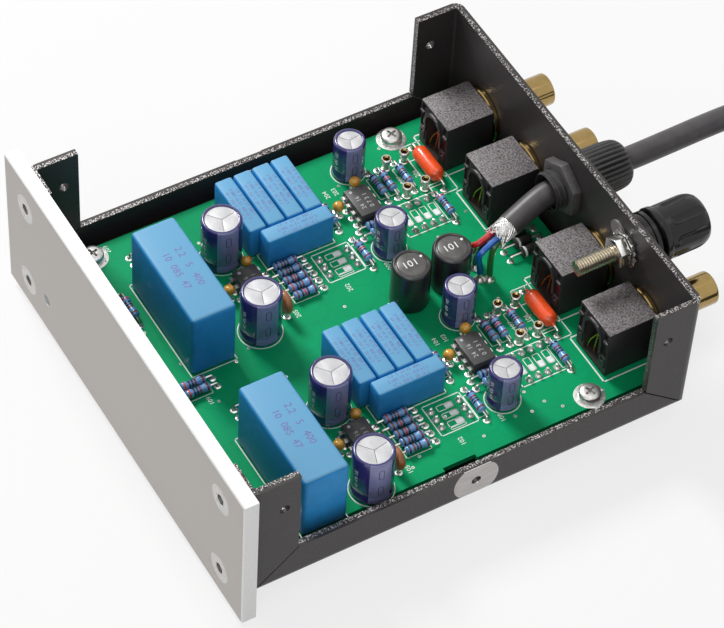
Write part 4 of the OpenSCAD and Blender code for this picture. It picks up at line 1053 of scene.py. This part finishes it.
body = stamped([(block(CHIP), [at(0, 0, CHIP_LIFT)])])
bmesh.ops.bisect_plane(body, geom=all_of(body), plane_co=(0, 0, CHIP_MID),
                       plane_no=(0, 0, 1))
for v in body.verts:
    if abs(v.co.z - CHIP_MID) > 0.1:
        v.co.x *= TAPER_X
        v.co.y *= TAPER_Y
bevelled(body, body.edges[:], CHIP_ROUND, 2)
chip_case = cut_out(as_shape(body), rod(0.8, -1, 1, 24),
                    [at(-CHIP[0] / 2 + 0.1, 0, CHIP_TOP + 0.6)])
chips = both_channels(CHIPS)
leg_rows = [(p @ at((k - 1.5) * PITCH, 0), s) for p in chips for k in range(4)
            for s in SIDES]
leg_spots = [row @ at(0, s * ROW_HALF) for row, s in leg_rows]
solder_spots += leg_spots
piece("chip_set", [
    (chip_case, chips, 0), (block((0.5, 0.28, 2.1), 0.06, 1), leg_spots, 1),
    (block((1.15, 1.0, 0.28), 0.06, 1),
     [row @ at(0, s * LEG_OUT, LEG_Z) for row, s in leg_rows], 1),
    (rod(0.42, 0, 0.02, 16), [p @ at(-3.4, -1.7, CHIP_TOP) for p in chips], 2)]
    + printed_rows(["24  16", "0 7 3 1"], 1.7, 2.1, CHIP_TOP,
                   [p @ at(0.5, 0, 0, 180) for p in chips], 2),
    [chip_plastic, tin, chip_ink], "chip_black", ["signal_chips"])

# %% [markdown]
# ## Resistors
# Metal film resistors have swollen ends, blue lacquer and five colour bands. The
# body is one turned outline with extra rings at the bands' edges, and the bands are
# painted by their place along it. Three sets of bands are shared out by a seeded
# draw, so the rows don't look copied.
# %% Make the resistors
RESISTOR_H, RESISTOR_SPAN = 1.4, 10.16
SWELL_IN, SWELL_OUT, SWELL_R, WAIST_R = 1.45, 1.85, 1.1, 0.93
BAND_AT, BAND_HALF = (-2.35, -1.1, -0.35, 0.4, 2.3), 0.26
BAND_SETS = ((1, 2, 1, 1, 2), (2, 1, 3, 1, 2), (3, 1, 1, 2, 2))
lacquer = finish("resistor_lacquer", (0.14, 0.34, 0.66), 0.25, spread=0.12, grain=400,
                 coat=0.4)
bands = [finish("band_" + name, colour, 0.3, coat=0.3) for name, colour in (
    ("dark", (0.013, 0.014, 0.05)), ("brown", (0.16, 0.03, 0.02)),
    ("red", (0.5, 0.04, 0.03)))]


def resistor_shape(colours):
    def radius(z):
        swelling = (abs(z) - SWELL_IN) / (SWELL_OUT - SWELL_IN)
        return WAIST_R + (SWELL_R - WAIST_R) * min(1, max(0, swelling))

    def paint(c):
        for band, colour in zip(BAND_AT, colours):
            if abs(c.z - band) < BAND_HALF:
                return colour
        return 0

    stops = {round(b + s * BAND_HALF, 2) for b in BAND_AT for s in SIDES}
    stops |= {s * z for z in (SWELL_IN, SWELL_OUT) for s in SIDES}
    return turned(both_ends([(1.02, 2.85), (0.8, 3.08), (0.4, 3.18), (0, 3.2)],
                            [(radius(z), z) for z in sorted(stops)]), 20, paint)


resistor_shapes = [resistor_shape(colours) for colours in BAND_SETS]
resistor_legs = wires(bent_legs(RESISTOR_SPAN, RESISTOR_H, 3), LEAD)
supply = {"left": [spot((-10.6, -18.1))],
          "right": [spot(share, turned=90) for share in SUPPLY_PAIR]}
draw = random.Random(4)
for side, channel in CHANNELS:
    places = ([spot(s, side) for s in RESISTORS_X]
              + [spot(s, side, 90) for s in RESISTORS_Y] + supply[channel])
    note_leads(places, RESISTOR_SPAN / 2)
    piece("resistor_set_" + channel, [
        (draw.choice(resistor_shapes), [p @ lying(RESISTOR_H)]) for p in places]
        + [(resistor_legs, places, 4)],
        [lacquer, *bands, tin], "resistor_blue", ["resistors_" + channel])

# %% [markdown]
# ## Diodes and pin sockets
# Three diodes near the gland are black cylinders with a pale ring at one end. The
# pin sockets are turned pins with a countersunk gilt hole, and take a plug-in part.
# Both are turned shapes.
# %% Make the diodes and the pin sockets
DIODE_H = 1.6
diode_black = finish("diode_black", (0.02, 0.02, 0.02), 0.35, spread=0.3)
diode = turned([(0, -2.2), (1.1, -2.2), (1.32, -2.0), (1.35, -1.7), (1.35, -1.1),
                (1.35, 1.9), (1.2, 2.2), (0, 2.2)], 28,
               lambda c: int(-1.75 < c.z < -1.05 and from_axis(c) > 1.3))
diodes = [spot((x, 18.4), turned=90) for x in (-1.6, -0.4, 0.8)]
note_leads(diodes, RESISTOR_SPAN / 2)
piece("diode_set", [(diode, [p @ lying(DIODE_H) for p in diodes]),
                    (wires(bent_legs(RESISTOR_SPAN, DIODE_H, 2), THICK_LEAD), diodes, 2)],
      [diode_black, white_print, tin], "chip_black", ["supply_diodes"])

gilt = finish("gilt", (0.4, 0.28, 0.11), 0.14, 1.0, 0.12, 500, 0.08)
pin_socket = turned([(0, 0), (1.1, 0), (1.15, 0.35), (0.85, 0.5), (0.8, 2.3), (1.2, 2.5),
                     (1.3, 2.7), (1.3, 3.85), (1.15, 4), (0.95, 4), (0.55, 3.6),
                     (0.5, 2), (0, 1.9)], 28,
                    lambda c: int(from_axis(c) < 0.85 and c.z > 1.8))
piece("pin_socket_set", [(pin_socket, both_channels(
    [(x, y) for y in (13.85, 11.85) for x in (-4.6, -0.6)]))],
    [tin, gilt], "tin_metal", ["pin_sockets"])

# %% [markdown]
# ## Phono sockets
# Each socket is a black plastic box on the board with a narrow arched mouth towards
# the front, where two bent contact springs show. A lip stands proud round the arch,
# and the jambs beside it have pockets, snap ears and a dimple. Its gilt shell comes
# out through the rear wall. The box is a bevelled block with these cut out of it or
# set on it. The lip is a block whose upper edges are bevelled until they meet.
# %% Make the sockets
HOUSING, JACK_FRONT, JACK_Z, SHELL_IN = (12.4, 13.3, 14.7), 34.95, 19.4, 1.3
MOUTH_R, MOUTH_Z, MOUTH_FOOT, MOUTH_DEEP, LIP = 3.1, 10.0, 1.1, 10.4, 0.85
# The plastic is black. Its upward faces are painted a speckled grey, a painted highlight
# for the light from above, and the other faces stay near black.
plastic = two_faces(finish(
    "housing_plastic", (0.27, 0.245, 0.25), 0.5, spread=0.85, grain=2700, bump=0.9,
    bump_size=0.00006, specular=0.4), (0.017, 0.015, 0.017), "Z", FACING, "LESS_THAN")
spring_gilt = finish("spring_gilt", (0.6, 0.42, 0.06), 0.25, 0.9)
spring_red = finish("spring_copper", (0.75, 0.17, 0.05), 0.25, 0.8)
insert_red = finish("insert_red", (0.16, 0.012, 0.02), 0.4)
insert_dark = finish("insert_dark", (0.03, 0.028, 0.028), 0.5)


def arched(shape):
    """The shape without the mouth's arch and the straight part under it."""
    shape = cut_out(shape, rod(MOUTH_R, 0, MOUTH_DEEP, 40), [along_y(0, -1, MOUTH_Z)])
    foot_part = block((2 * MOUTH_R, MOUTH_DEEP, MOUTH_Z - MOUTH_FOOT))
    return cut_out(shape, foot_part, [at(0, MOUTH_DEEP / 2 - 1.01, MOUTH_FOOT)])


def jambs(x, y, z):
    """The places on both sides of the mouth."""
    return [at(s * x, y, z) for s in SIDES]


mouth = arched(as_shape(stamped([(block(HOUSING, 0.35), [at(0, HOUSING[1] / 2)])])))
for cutter, places in (
        (block((1.5, 1.8, 2.3)), jambs(4.85, 0, 11.8)),
        (block((2.1, 1.8, 4.2)), jambs(4.7, 0, 6.4)),
        (rod(2.35, 0, 6, 24), [along_y(0, 8, 7.9)]),
        (block((1.7, 1.0, 8.2)), [at(0, 7.3, -0.2)])):
    mouth = cut_out(mouth, cutter, places)
box_bm = as_bm(mouth)
painted(box_bm, lambda c: 3 * (abs(c.x) < 5.78 and 0.05 < c.y < 9.5
                               and 0.8 < c.z < 14.2))
lip_size = 2 * (MOUTH_R + LIP)
lip = as_bm(block((lip_size, 0.6, lip_size)))
upper = [e for e in lip.edges if all(v.co.z > lip_size / 2 for v in e.verts)
         and abs(e.verts[0].co.x - e.verts[1].co.x) < 0.1]
bevelled(lip, upper, lip_size / 2 - 0.02, 12)
bmesh.ops.translate(lip, vec=(0, -0.2, MOUTH_Z - lip_size / 2), verts=lip.verts)
stamp(box_bm, arched(as_shape(lip)), HERE)
stamp(box_bm, block((1.7, 0.6, 0.7), 0.12, 1), jambs(5.2, -0.1, 10.9))
stamp(box_bm, cut_out(block((2.1, 0.8, 3.8), 0.12, 1), rod(0.5, 0, 0.8, 16),
                      [along_y(0, -0.6, 2.7)]), jambs(4.7, 0.1, 2.4))
mouth = as_shape(box_bm)
springs = wires([smooth_run(run, 4) for run in (
    [(-2.9, 1.2, 1.2), (-2.6, 1.6, 3.6), (-1.5, 2, 5.9), (-0.8, 2.3, 7.2),
     (-0.4, 2.4, 7.65)],
    [(-0.9, 1.6, 0.8), (-0.75, 1.8, 3.5), (-0.65, 2.0, 6.0), (-0.5, 2.2, 7.4),
     (-0.35, 2.4, 7.9)])], 0.24)
for side, channel in CHANNELS:
    for kind, step, spring, tongue in (("output", 1, spring_gilt, insert_dark),
                                       ("input", -1, spring_red, insert_red)):
        node = f"{kind}_housing_{channel}"
        place = at(side * CHANNEL_X + step * JACK_OFF, JACK_FRONT, BOARD_TOP)
        piece(node + "_box", [
            (mouth, [place]), (springs, [place], 1),
            (block((2.0, 0.3, 4.1)), [place @ p for p in jambs(4.7, 0.8, 6.45)], 2)],
            [plastic, spring, tongue, insert_dark], "socket_black", [node], sharp=30)

shell = turned([(3.3, 0), (7.2, 0), (7.5, 0.3), (7.5, 1.1), (7.3, 1.3), (3.95, 1.3),
                (3.95, 3.1), (4.15, 3.1), (4.15, 18.9), (4.08, 19.3), (3.9, 19.5),
                (3.5, 19.5), (3.35, 19.4), (3.3, 19.2), (3.3, 0)], 56)
piece("socket_shell_set", [(shell, [along_y(x, REAR_IN - SHELL_IN, JACK_Z)
                                    for x in JACK_XS])],
      [gilt], "gold", ["socket_shells"])
dress("socket_contacts", gilt)
dress("socket_insulators", finish("insulator_nylon", (0.8, 0.79, 0.75), 0.4, spread=0.05))

# %% [markdown]
# ## Threads, ribs and the cable gland
# The gland is a nylon body with a coarse thread inside the wall, a flat lock nut, and
# outside a dome nut whose ribs give a grip. A thread is a zigzag line that is spun
# one turn while it climbs one pitch, so that it meets itself, and then is cut flat.
# Ribs are a turned dome whose points move in and out with the angle.
# %% Make the gland
THREAD_WELD, RIB_STEPS, RIB_FADE = 1e-3, 8, 0.8
GLAND_BODY_Y, GLAND_NUT_Y, DOME_Y = 43.65, 47.05, 53.75


def threaded(radius, depth, pitch, length, steps, bore=0.0):
    """A bar with a helical thread, cut off flat at both ends, and maybe bored."""
    bm = bmesh.new()
    ridge = ((0.0, 0), (0.15, 0), (0.5, depth), (0.65, depth))
    zigzag = [bm.verts.new((radius - sink, 0, pitch * (k + share)))
              for k in range(-2, int(length / pitch) + 2) for share, sink in ridge]
    edges = [bm.edges.new(pair) for pair in zip(zigzag, zigzag[1:])]
    bmesh.ops.spin(bm, geom=zigzag + edges, cent=(0, 0, 0), axis=(0, 0, 1),
                   dvec=(0, 0, pitch / steps), angle=FULL_TURN, steps=steps)
    bmesh.ops.remove_doubles(bm, verts=bm.verts, dist=THREAD_WELD)
    for end, outward in ((0, -1), (length, 1)):
        bmesh.ops.bisect_plane(bm, geom=all_of(bm), plane_co=(0, 0, end),
                               plane_no=(0, 0, outward), clear_outer=True)
        rim = [e for e in bm.edges if e.is_boundary
               and all(abs(v.co.z - end) < THREAD_WELD for v in e.verts)]
        cap = bmesh.ops.contextual_create(bm, geom=rim)["faces"]
        if bore:
            bmesh.ops.inset_region(bm, faces=cap, thickness=radius - depth - bore)
            bmesh.ops.delete(bm, geom=cap, context="FACES_ONLY")
    if bore:
        bmesh.ops.bridge_loops(bm, edges=[e for e in bm.edges if e.is_boundary])
    bmesh.ops.recalc_face_normals(bm, faces=bm.faces)
    print("thread:", len(bm.faces), "faces, open edges:",
          sum(e.is_boundary for e in bm.edges))
    return as_shape(bm)


def ribbed(outline, count, depth, low, high):
    """A turned shape whose side goes in and out count times between two heights."""
    bm = as_bm(turned(outline, count * RIB_STEPS))
    widest = max(r for r, _ in outline)
    for v in bm.verts:
        reach = from_axis(v.co)
        if low < v.co.z < high and reach > widest * 0.72:
            wave = 0.5 - 0.5 * math.cos(count * math.radians(bearing(v.co)))
            fade = min(1, (v.co.z - low) / RIB_FADE, (high - v.co.z) / RIB_FADE)
            scale = 1 - depth * wave ** 2 * fade / reach
            v.co.x *= scale
            v.co.y *= scale
    return as_shape(bm)


def on_gland(y):
    return [along_y(0, y, GLAND_Z)]


nylon = finish("gland_nylon", (0.03, 0.028, 0.028), 0.42, spread=0.3, grain=700, bump=0.3)
nut_grey = finish("nut_grey", (0.085, 0.08, 0.08), 0.5, spread=0.4, grain=1300, bump=0.5,
                  bump_size=0.00005)
dome = ribbed([(5.05, 0), (6.1, 0), (6.4, 0.3), (6.4, 0.8), (6.4, 1.6), (6.4, 4),
               (6.3, 7.6), (6.22, 8.8), (6.05, 10), (5.7, 10.9), (5.1, 11.55),
               (4.4, 11.9), (3.7, 12), (3.25, 11.9), (3.05, 11.6), (3.05, 9.9),
               (4.35, 9.8), (4.35, 5.6), (5.05, 5.5), (5.05, 0)], 30, 0.55, 0.9, 11.2)
piece("gland_body_piece", [
    (threaded(5, 0.5, 1.4, 15.5, 40, 4.35), on_gland(GLAND_BODY_Y)),
    (prism(6, 7.27, 2.3, 0.3, 5.02), on_gland(REAR))],
    [nylon], "gland_black", ["gland_body"])
piece("gland_nut_piece", [(prism(6, 7.5, 2.5, 0.35, 5.05), on_gland(GLAND_NUT_Y))],
      [nut_grey], "gland_black", ["gland_lock_nut"])
piece("gland_dome_piece", [(dome, on_gland(DOME_Y))], [nylon], "gland_black",
      ["gland_dome_nut"])
dress("gland_seal", rubber)

# %% [markdown]
# ## The cable inside, its braid and its wires
# Inside the case the cable bends down from the gland. Its sheath is cut off, the
# screen of fine wires is frayed, and four coloured wires fan out to solder pads.
# The sheath is one smooth run. The braid is many thin strands wound both ways, with
# loose ends. The wires follow the same curves as in the CAD source.
# %% Make the inner cable
BEND_DOWN = Vector((2.4, -11.4, -3.3))
SCREEN_AT = Vector((0, GLAND_BODY_Y, GLAND_Z)) + BEND_DOWN
cable_dir = BEND_DOWN.normalized()
cable_side = cable_dir.cross(Vector((0, 0, -1))).normalized()
cable_up = cable_side.cross(cable_dir)
SCREEN_LEN = 4.0
inner_run = smooth_run([(0, 65.6, GLAND_Z), (0, 56, GLAND_Z), (0, 48.5, GLAND_Z),
                        (0.15, 44.8, GLAND_Z - 0.1), (0.6, 40.8, 28.4), SCREEN_AT], 6)
piece("inner_cable", [(wires([inner_run], CABLE_R, 6), HERE)], [sheath], "cable_sheath",
      ["cable_inner_end"])

# %% Fray the braid
STRANDS, BRAID_R, BRAID_TWIST, FRAY_FROM, FRAY = 26, 2.62, 1.5, 0.7, 0.55
draw = random.Random(7)
strands = []
for k in range(STRANDS * 2):
    way = 1 if k % 2 else -1
    reach = SCREEN_LEN + draw.uniform(-0.7, 1.6)
    run = []
    for step in range(8):
        t = step / 7
        angle = FULL_TURN * k / (2 * STRANDS) + way * BRAID_TWIST * t
        loose = FRAY * draw.random() * max(0, t - FRAY_FROM) / (1 - FRAY_FROM)
        r = BRAID_R - 0.1 * t + 0.1 * (k % 2) + loose
        run.append(SCREEN_AT + cable_dir * (reach * t - 0.2)
                   + r * (math.cos(angle) * cable_side + math.sin(angle) * cable_up))
    strands.append(run)
core = turned([(0, 0), (2.5, 0), (2.5, 3.2), (2.1, 3.9), (0, 4)], 24)
core_turn = Matrix((cable_side, cable_up, cable_dir)).transposed().to_4x4()
braid = finish("tinned_braid", (0.8, 0.79, 0.77), 0.32, 0.85, 0.3, 1500, 0.3)
piece("frayed_braid", [
    (core, [Matrix.Translation(SCREEN_AT - 0.1 * cable_dir) @ core_turn]),
    (wires(strands, 0.13), HERE)], [braid], "tin_metal", ["cable_screen"])

# %% Bend the supply wires
WIRE_SPREAD, WIRE_R, WIRE_STEPS = 1.05, 0.9, 40
supply_wires = (  # name, colour, place in the cable, landing, reach ahead, reach above
    ("red", (0.55, 0.012, 0.015), (-1, -1), (-1.1, 13.5), 9, 9),
    ("black", (0.02, 0.02, 0.02), (-1, 1), (-0.15, 12.95), 3, 4),
    ("blue", (0.01, 0.12, 0.5), (1, -1), (1.35, 12.6), 9, 9),
    ("green", (0.02, 0.16, 0.03), (1, 1), (1.75, 13.45), 3, 4))
wire_finishes, wire_stamps, landings = [], [], []
for k, (name, colour, (across, high), share, lead, rise) in enumerate(supply_wires):
    wire_finishes.append(finish("wire_" + name, colour, 0.28, spread=0.15, grain=500,
                                coat=0.3))
    p = (SCREEN_AT + SCREEN_LEN * cable_dir
         + WIRE_SPREAD * (across * cable_side + high * cable_up))
    landings.append(spot(share))
    q = landings[-1].translation
    a, d = p + 0.8 * cable_dir, q + Vector((0, 0, 0.8))
    b, c = a + lead * cable_dir, d + Vector((0, 0, rise))
    run = [p - 1.2 * cable_dir, p]
    for t in (step / WIRE_STEPS for step in range(WIRE_STEPS + 1)):
        s = 1 - t
        run.append(s ** 3 * a + 3 * s * s * t * b + 3 * s * t * t * c + t ** 3 * d)
    wire_stamps += [(wires([run[:-3]], WIRE_R * 0.86, 2), HERE, k),
                    (wires([[*run[-5:], q]], 0.5), HERE, 4)]
piece("supply_wire_set", wire_stamps, wire_finishes + [tin], "wire_sheath",
      ["supply_wires"])

# %% [markdown]
# ## Ground post
# The ground post is an M4 stud through the rear wall. Inside are a soldering tag, a
# toothed washer and a nut. Outside are a washer, a grooved collar and a knob with
# eight flutes and a brass insert. The knob screws out along the stud, so it rides on
# its own body. The teeth are a turned washer with every other sector drawn in, and
# the flutes are cut with rounded bars.
# %% Make the ground post
POST_Z, STUD_Y, POST_NUT_Y = 33.2, 35.25, 45.55
TEETH_Y, TAG_Y, KNOB_Y = 48.37, 49.05, 56.35
TOOTH_DEGREES, TOOTH_SHARE, TOOTH_BEND, TOOTH_ROOT = 30, 0.45, 0.1, 0.84
TAG_R, TAG_END, TAG_END_R, TAG_T = 3.4, 4.7, 2.5, 0.5


def on_post(y, turned_by=0.0):
    return [along_y(CHANNEL_X, y, POST_Z, turned_by)]


chrome = finish("chrome_steel", (0.72, 0.71, 0.68), 0.2, 1.0, 0.15, 800, 0.15)
stud_steel = finish("stud_steel", (0.62, 0.56, 0.45), 0.25, 1.0, 0.15, 800)
tag_grey = finish("tag_grey", (0.3, 0.29, 0.28), 0.42, 0.6, 0.2, 900, 0.2)
piece("ground_stud", [(threaded(2, 0.42, 0.7, 30.1, 24), on_post(STUD_Y))],
      [stud_steel], "brass_metal", ["ground_post_stud"], sharp=50)
piece("ground_nut_piece", [(prism(6, 4.04, 2.8, 0.28, 2.06), on_post(POST_NUT_Y))],
      [chrome], "nut_chrome", ["ground_post_nut"])
teeth = as_bm(turned([(2.25, 0.1), (3.9, 0.1), (4.75, 0.1), (4.8, 0.35), (4.75, 0.6),
                      (3.9, 0.6), (2.25, 0.6), (2.25, 0.1)], 72))
for v in teeth.verts:
    if from_axis(v.co) > 4.5:
        sector = bearing(v.co) % TOOTH_DEGREES / TOOTH_DEGREES
        if sector < TOOTH_SHARE:
            v.co.z += TOOTH_BEND if sector < 0.25 else -TOOTH_BEND
        else:
            v.co.x *= TOOTH_ROOT
            v.co.y *= TOOTH_ROOT
tag = bmesh.new()
outline = [polar(TAG_R, FULL_TURN * (0.12 + 0.76 * k / 18)) for k in range(19)]
outline += [Vector((TAG_END, 0, 0)) + Vector(polar(TAG_END_R, FULL_TURN * (k / 24 - 0.25)))
            for k in range(13)]
raised = bmesh.ops.extrude_face_region(tag, geom=[
    tag.faces.new([tag.verts.new(corner) for corner in outline])])
bmesh.ops.translate(tag, vec=(0, 0, TAG_T), verts=[
    part for part in raised["geom"] if isinstance(part, bmesh.types.BMVert)])
bmesh.ops.recalc_face_normals(tag, faces=tag.faces)
outer_washer = turned([(2.1, 0), (5.6, 0), (5.8, 0.25), (5.8, 0.75), (5.6, 1), (2.1, 1),
                       (2.1, 0)], 48)
piece("ground_washer_set", [
    (as_shape(teeth), on_post(TEETH_Y), 0),
    (cut_out(as_shape(tag), rod(2.25, -1, 2, 32), HERE), on_post(TAG_Y, -155), 1),
    (outer_washer, on_post(REAR), 0)],
    [chrome, tag_grey], "nut_chrome", ["ground_post_washers"])

# %% Make the collar and the knob
gloss_black = finish("gloss_black", (0.011, 0.01, 0.011), 0.2, spread=0.3, grain=500,
                     coat=0.05, specular=0.35)
collar = turned([(2.2, 0), (6.5, 0), (6.8, 0.3), (6.8, 1.2), (6.45, 1.4), (6.45, 1.75),
                 (6.8, 1.95), (6.8, 2.9), (6.5, 3.2), (5.6, 3.2), (5.6, 3.8), (2.2, 3.8),
                 (2.2, 0)], 56)
piece("ground_collar", [(collar, on_post(REAR + 1))], [gloss_black], "knob_black",
      ["ground_post_collar"])
knob = turned([(0, 10.25), (3.3, 10.25), (3.3, 0), (6.7, 0), (7, 0.3), (7, 1.4),
               (6.85, 1.75), (6.7, 1.85), (6.7, 9.6), (6.6, 10.8), (6.3, 11.9),
               (5.8, 12.75), (5.1, 13.25), (4.4, 13.4), (0, 13.4)], 96)
flute = turned([(0, 0), (1.0, 0.35), (1.55, 1.0), (1.7, 1.9), (1.7, 14), (0, 14)], 20)
knob = cut_out(knob, flute, [at(0, 0, 2.7, 22.5 + 45 * k) @ at(7.7, 0)
                             for k in range(8)])
piece("ground_knob_piece", [(knob, on_post(KNOB_Y))], [gloss_black], "knob_black",
      ["ground_post_knob"], "ground_knob", sharp=40)
dress("ground_post_insert", finish("insert_brass", (0.7, 0.5, 0.2), 0.3, 1.0))

# %% [markdown]
# ## Solder and plated holes
# Every lead ends in a tinned ring with a small cone of solder. The switch banks sit
# on the underside, so their pins show here as rows of bright lumps. The parts noted
# their lead places while they were made. A seeded draw scatters a few plated holes
# in the free areas between them.
# %% Solder the leads
VIAS, VIA_GAP, VIA_X, VIA_Y, WIRE_JOINT = 90, 2.2, (-46, 46), (-60, 33), 1.5
pad = turned([(0, 0.03), (0.92, 0.03), (0.92, 0.05), (0.75, 0.08), (0.5, 0.22),
              (0.38, 0.5), (0.3, 0.65), (0, 0.7)], 18)
lump = turned([(0, 0.03), (1.0, 0.03), (0.98, 0.15), (0.85, 0.4), (0.6, 0.7), (0.4, 1.0),
               (0.36, 1.5), (0, 1.6)], 18)
via = turned([(0.16, 0.0), (0.4, 0.0), (0.42, 0.05), (0.16, 0.05), (0.16, 0.0)], 12)
pins = []
for side in SIDES:
    for s in SIDES:
        pins += [spot(IMPEDANCE_BANK, side) @ at(s * ROW_HALF, (k - 1.5) * PITCH)
                 for k in range(4)]
        pins += [spot(GAIN_BANK, side) @ at((k - 1) * PITCH, s * ROW_HALF)
                 for k in range(3)]
draw = random.Random(11)
taken = [place.translation for place in solder_spots + pins]
holes = []
while len(holes) < VIAS:
    place = at(draw.uniform(*VIA_X), draw.uniform(*VIA_Y), BOARD_TOP)
    if all((place.translation - other).length > VIA_GAP for other in taken):
        holes.append(place)
        taken.append(place.translation)
piece("solder_joints", [(pad, solder_spots), (lump, pins + [
    place @ Matrix.Scale(WIRE_JOINT, 4) for place in landings]), (via, holes)],
    [solder], "tin_metal")
print("joints:", len(solder_spots) + len(pins), "plated holes:", len(holes))

# %% [markdown]
# ## Switches under the board
# Below the tray's window hang red banks of small slide switches, four to set the
# load and three to set the gain in each channel. Each slider is white, moves in its
# own slot and rides on its own body. The bank is a block with its slots cut, and
# white figures count the switches.
# %% Make the switch banks
BANK_H, BANK_W, BOARD_UNDER = 4.3, 9.9, 9.9
SLOT_LEN, SLOT_W, FOOT_W, SLIDER_LEN = 3.9, 1.4, 2.1, 1.7
TIP_W, TIP_H, TIP_LOW, BAR_W, BAR_H, SLIDE_PLAY = 1.2, 2.2, -0.4, 1.9, 0.9, 0.1
BANKS = (("impedance", IMPEDANCE_BANK, 4, 0), ("gain", GAIN_BANK, 3, 90))
bank_red = finish("bank_red", (0.45, 0.02, 0.015), 0.4, spread=0.2, grain=900, bump=0.2)
slider_white = finish("slider_white", (0.8, 0.8, 0.77), 0.35, spread=0.05)


def bank_place(side, share, turned_by):
    return at(*on_channel(share, side), BOARD_UNDER, turned_by)


def switch_row(k, count):
    return (k - (count - 1) / 2) * PITCH


bank_stamps = []
for kind, share, count, turned_by in BANKS:
    rows = [switch_row(k, count) for k in range(count)]
    bank = as_shape(stamped([(block((BANK_W, count * PITCH + 2, BANK_H), 0.3),
                              [at(0, 0, -BANK_H)])]))
    for width, depth, z in ((SLOT_W, 3, -1.1), (FOOT_W, 1.1, 0.8)):
        bank = cut_out(bank, block((SLOT_LEN, width, depth)),
                       [at(0, y, z - BANK_H) for y in rows])
    places = [bank_place(side, share, turned_by) for side in SIDES]
    bank_stamps.append((bank, places, 0))
    bank_stamps += [(lettering(str(k), 1.5), [
        p @ at(3.4, y, -BANK_H) @ Matrix.Rotation(math.radians(180), 4, "X")
        for p in places], 1) for k, y in enumerate(rows, 1)]
piece("switch_bank_set", bank_stamps, [bank_red, slider_white], "switch_red",
      ["switch_banks"])

# %% Make the sliders
tip = block((SLIDER_LEN, TIP_W, TIP_H), 0.18)
foot_bar = block((SLIDER_LEN, BAR_W, BAR_H), 0.1, 1)
slider_x = -SLOT_LEN / 2 + SLIDE_PLAY + SLIDER_LEN / 2
for side, channel in CHANNELS:
    for kind, share, count, turned_by in BANKS:
        for k in range(count):
            node = f"{kind}_slider_{channel}_{k + 1}"
            place = bank_place(side, share, turned_by) @ at(
                slider_x, switch_row(k, count), -BANK_H)
            piece(node + "_piece", [(tip, [place @ at(0, 0, TIP_LOW)]),
                                    (foot_bar, [place @ at(0, 0, BAR_H)])],
                  [slider_white], "slider_white", [node], node)
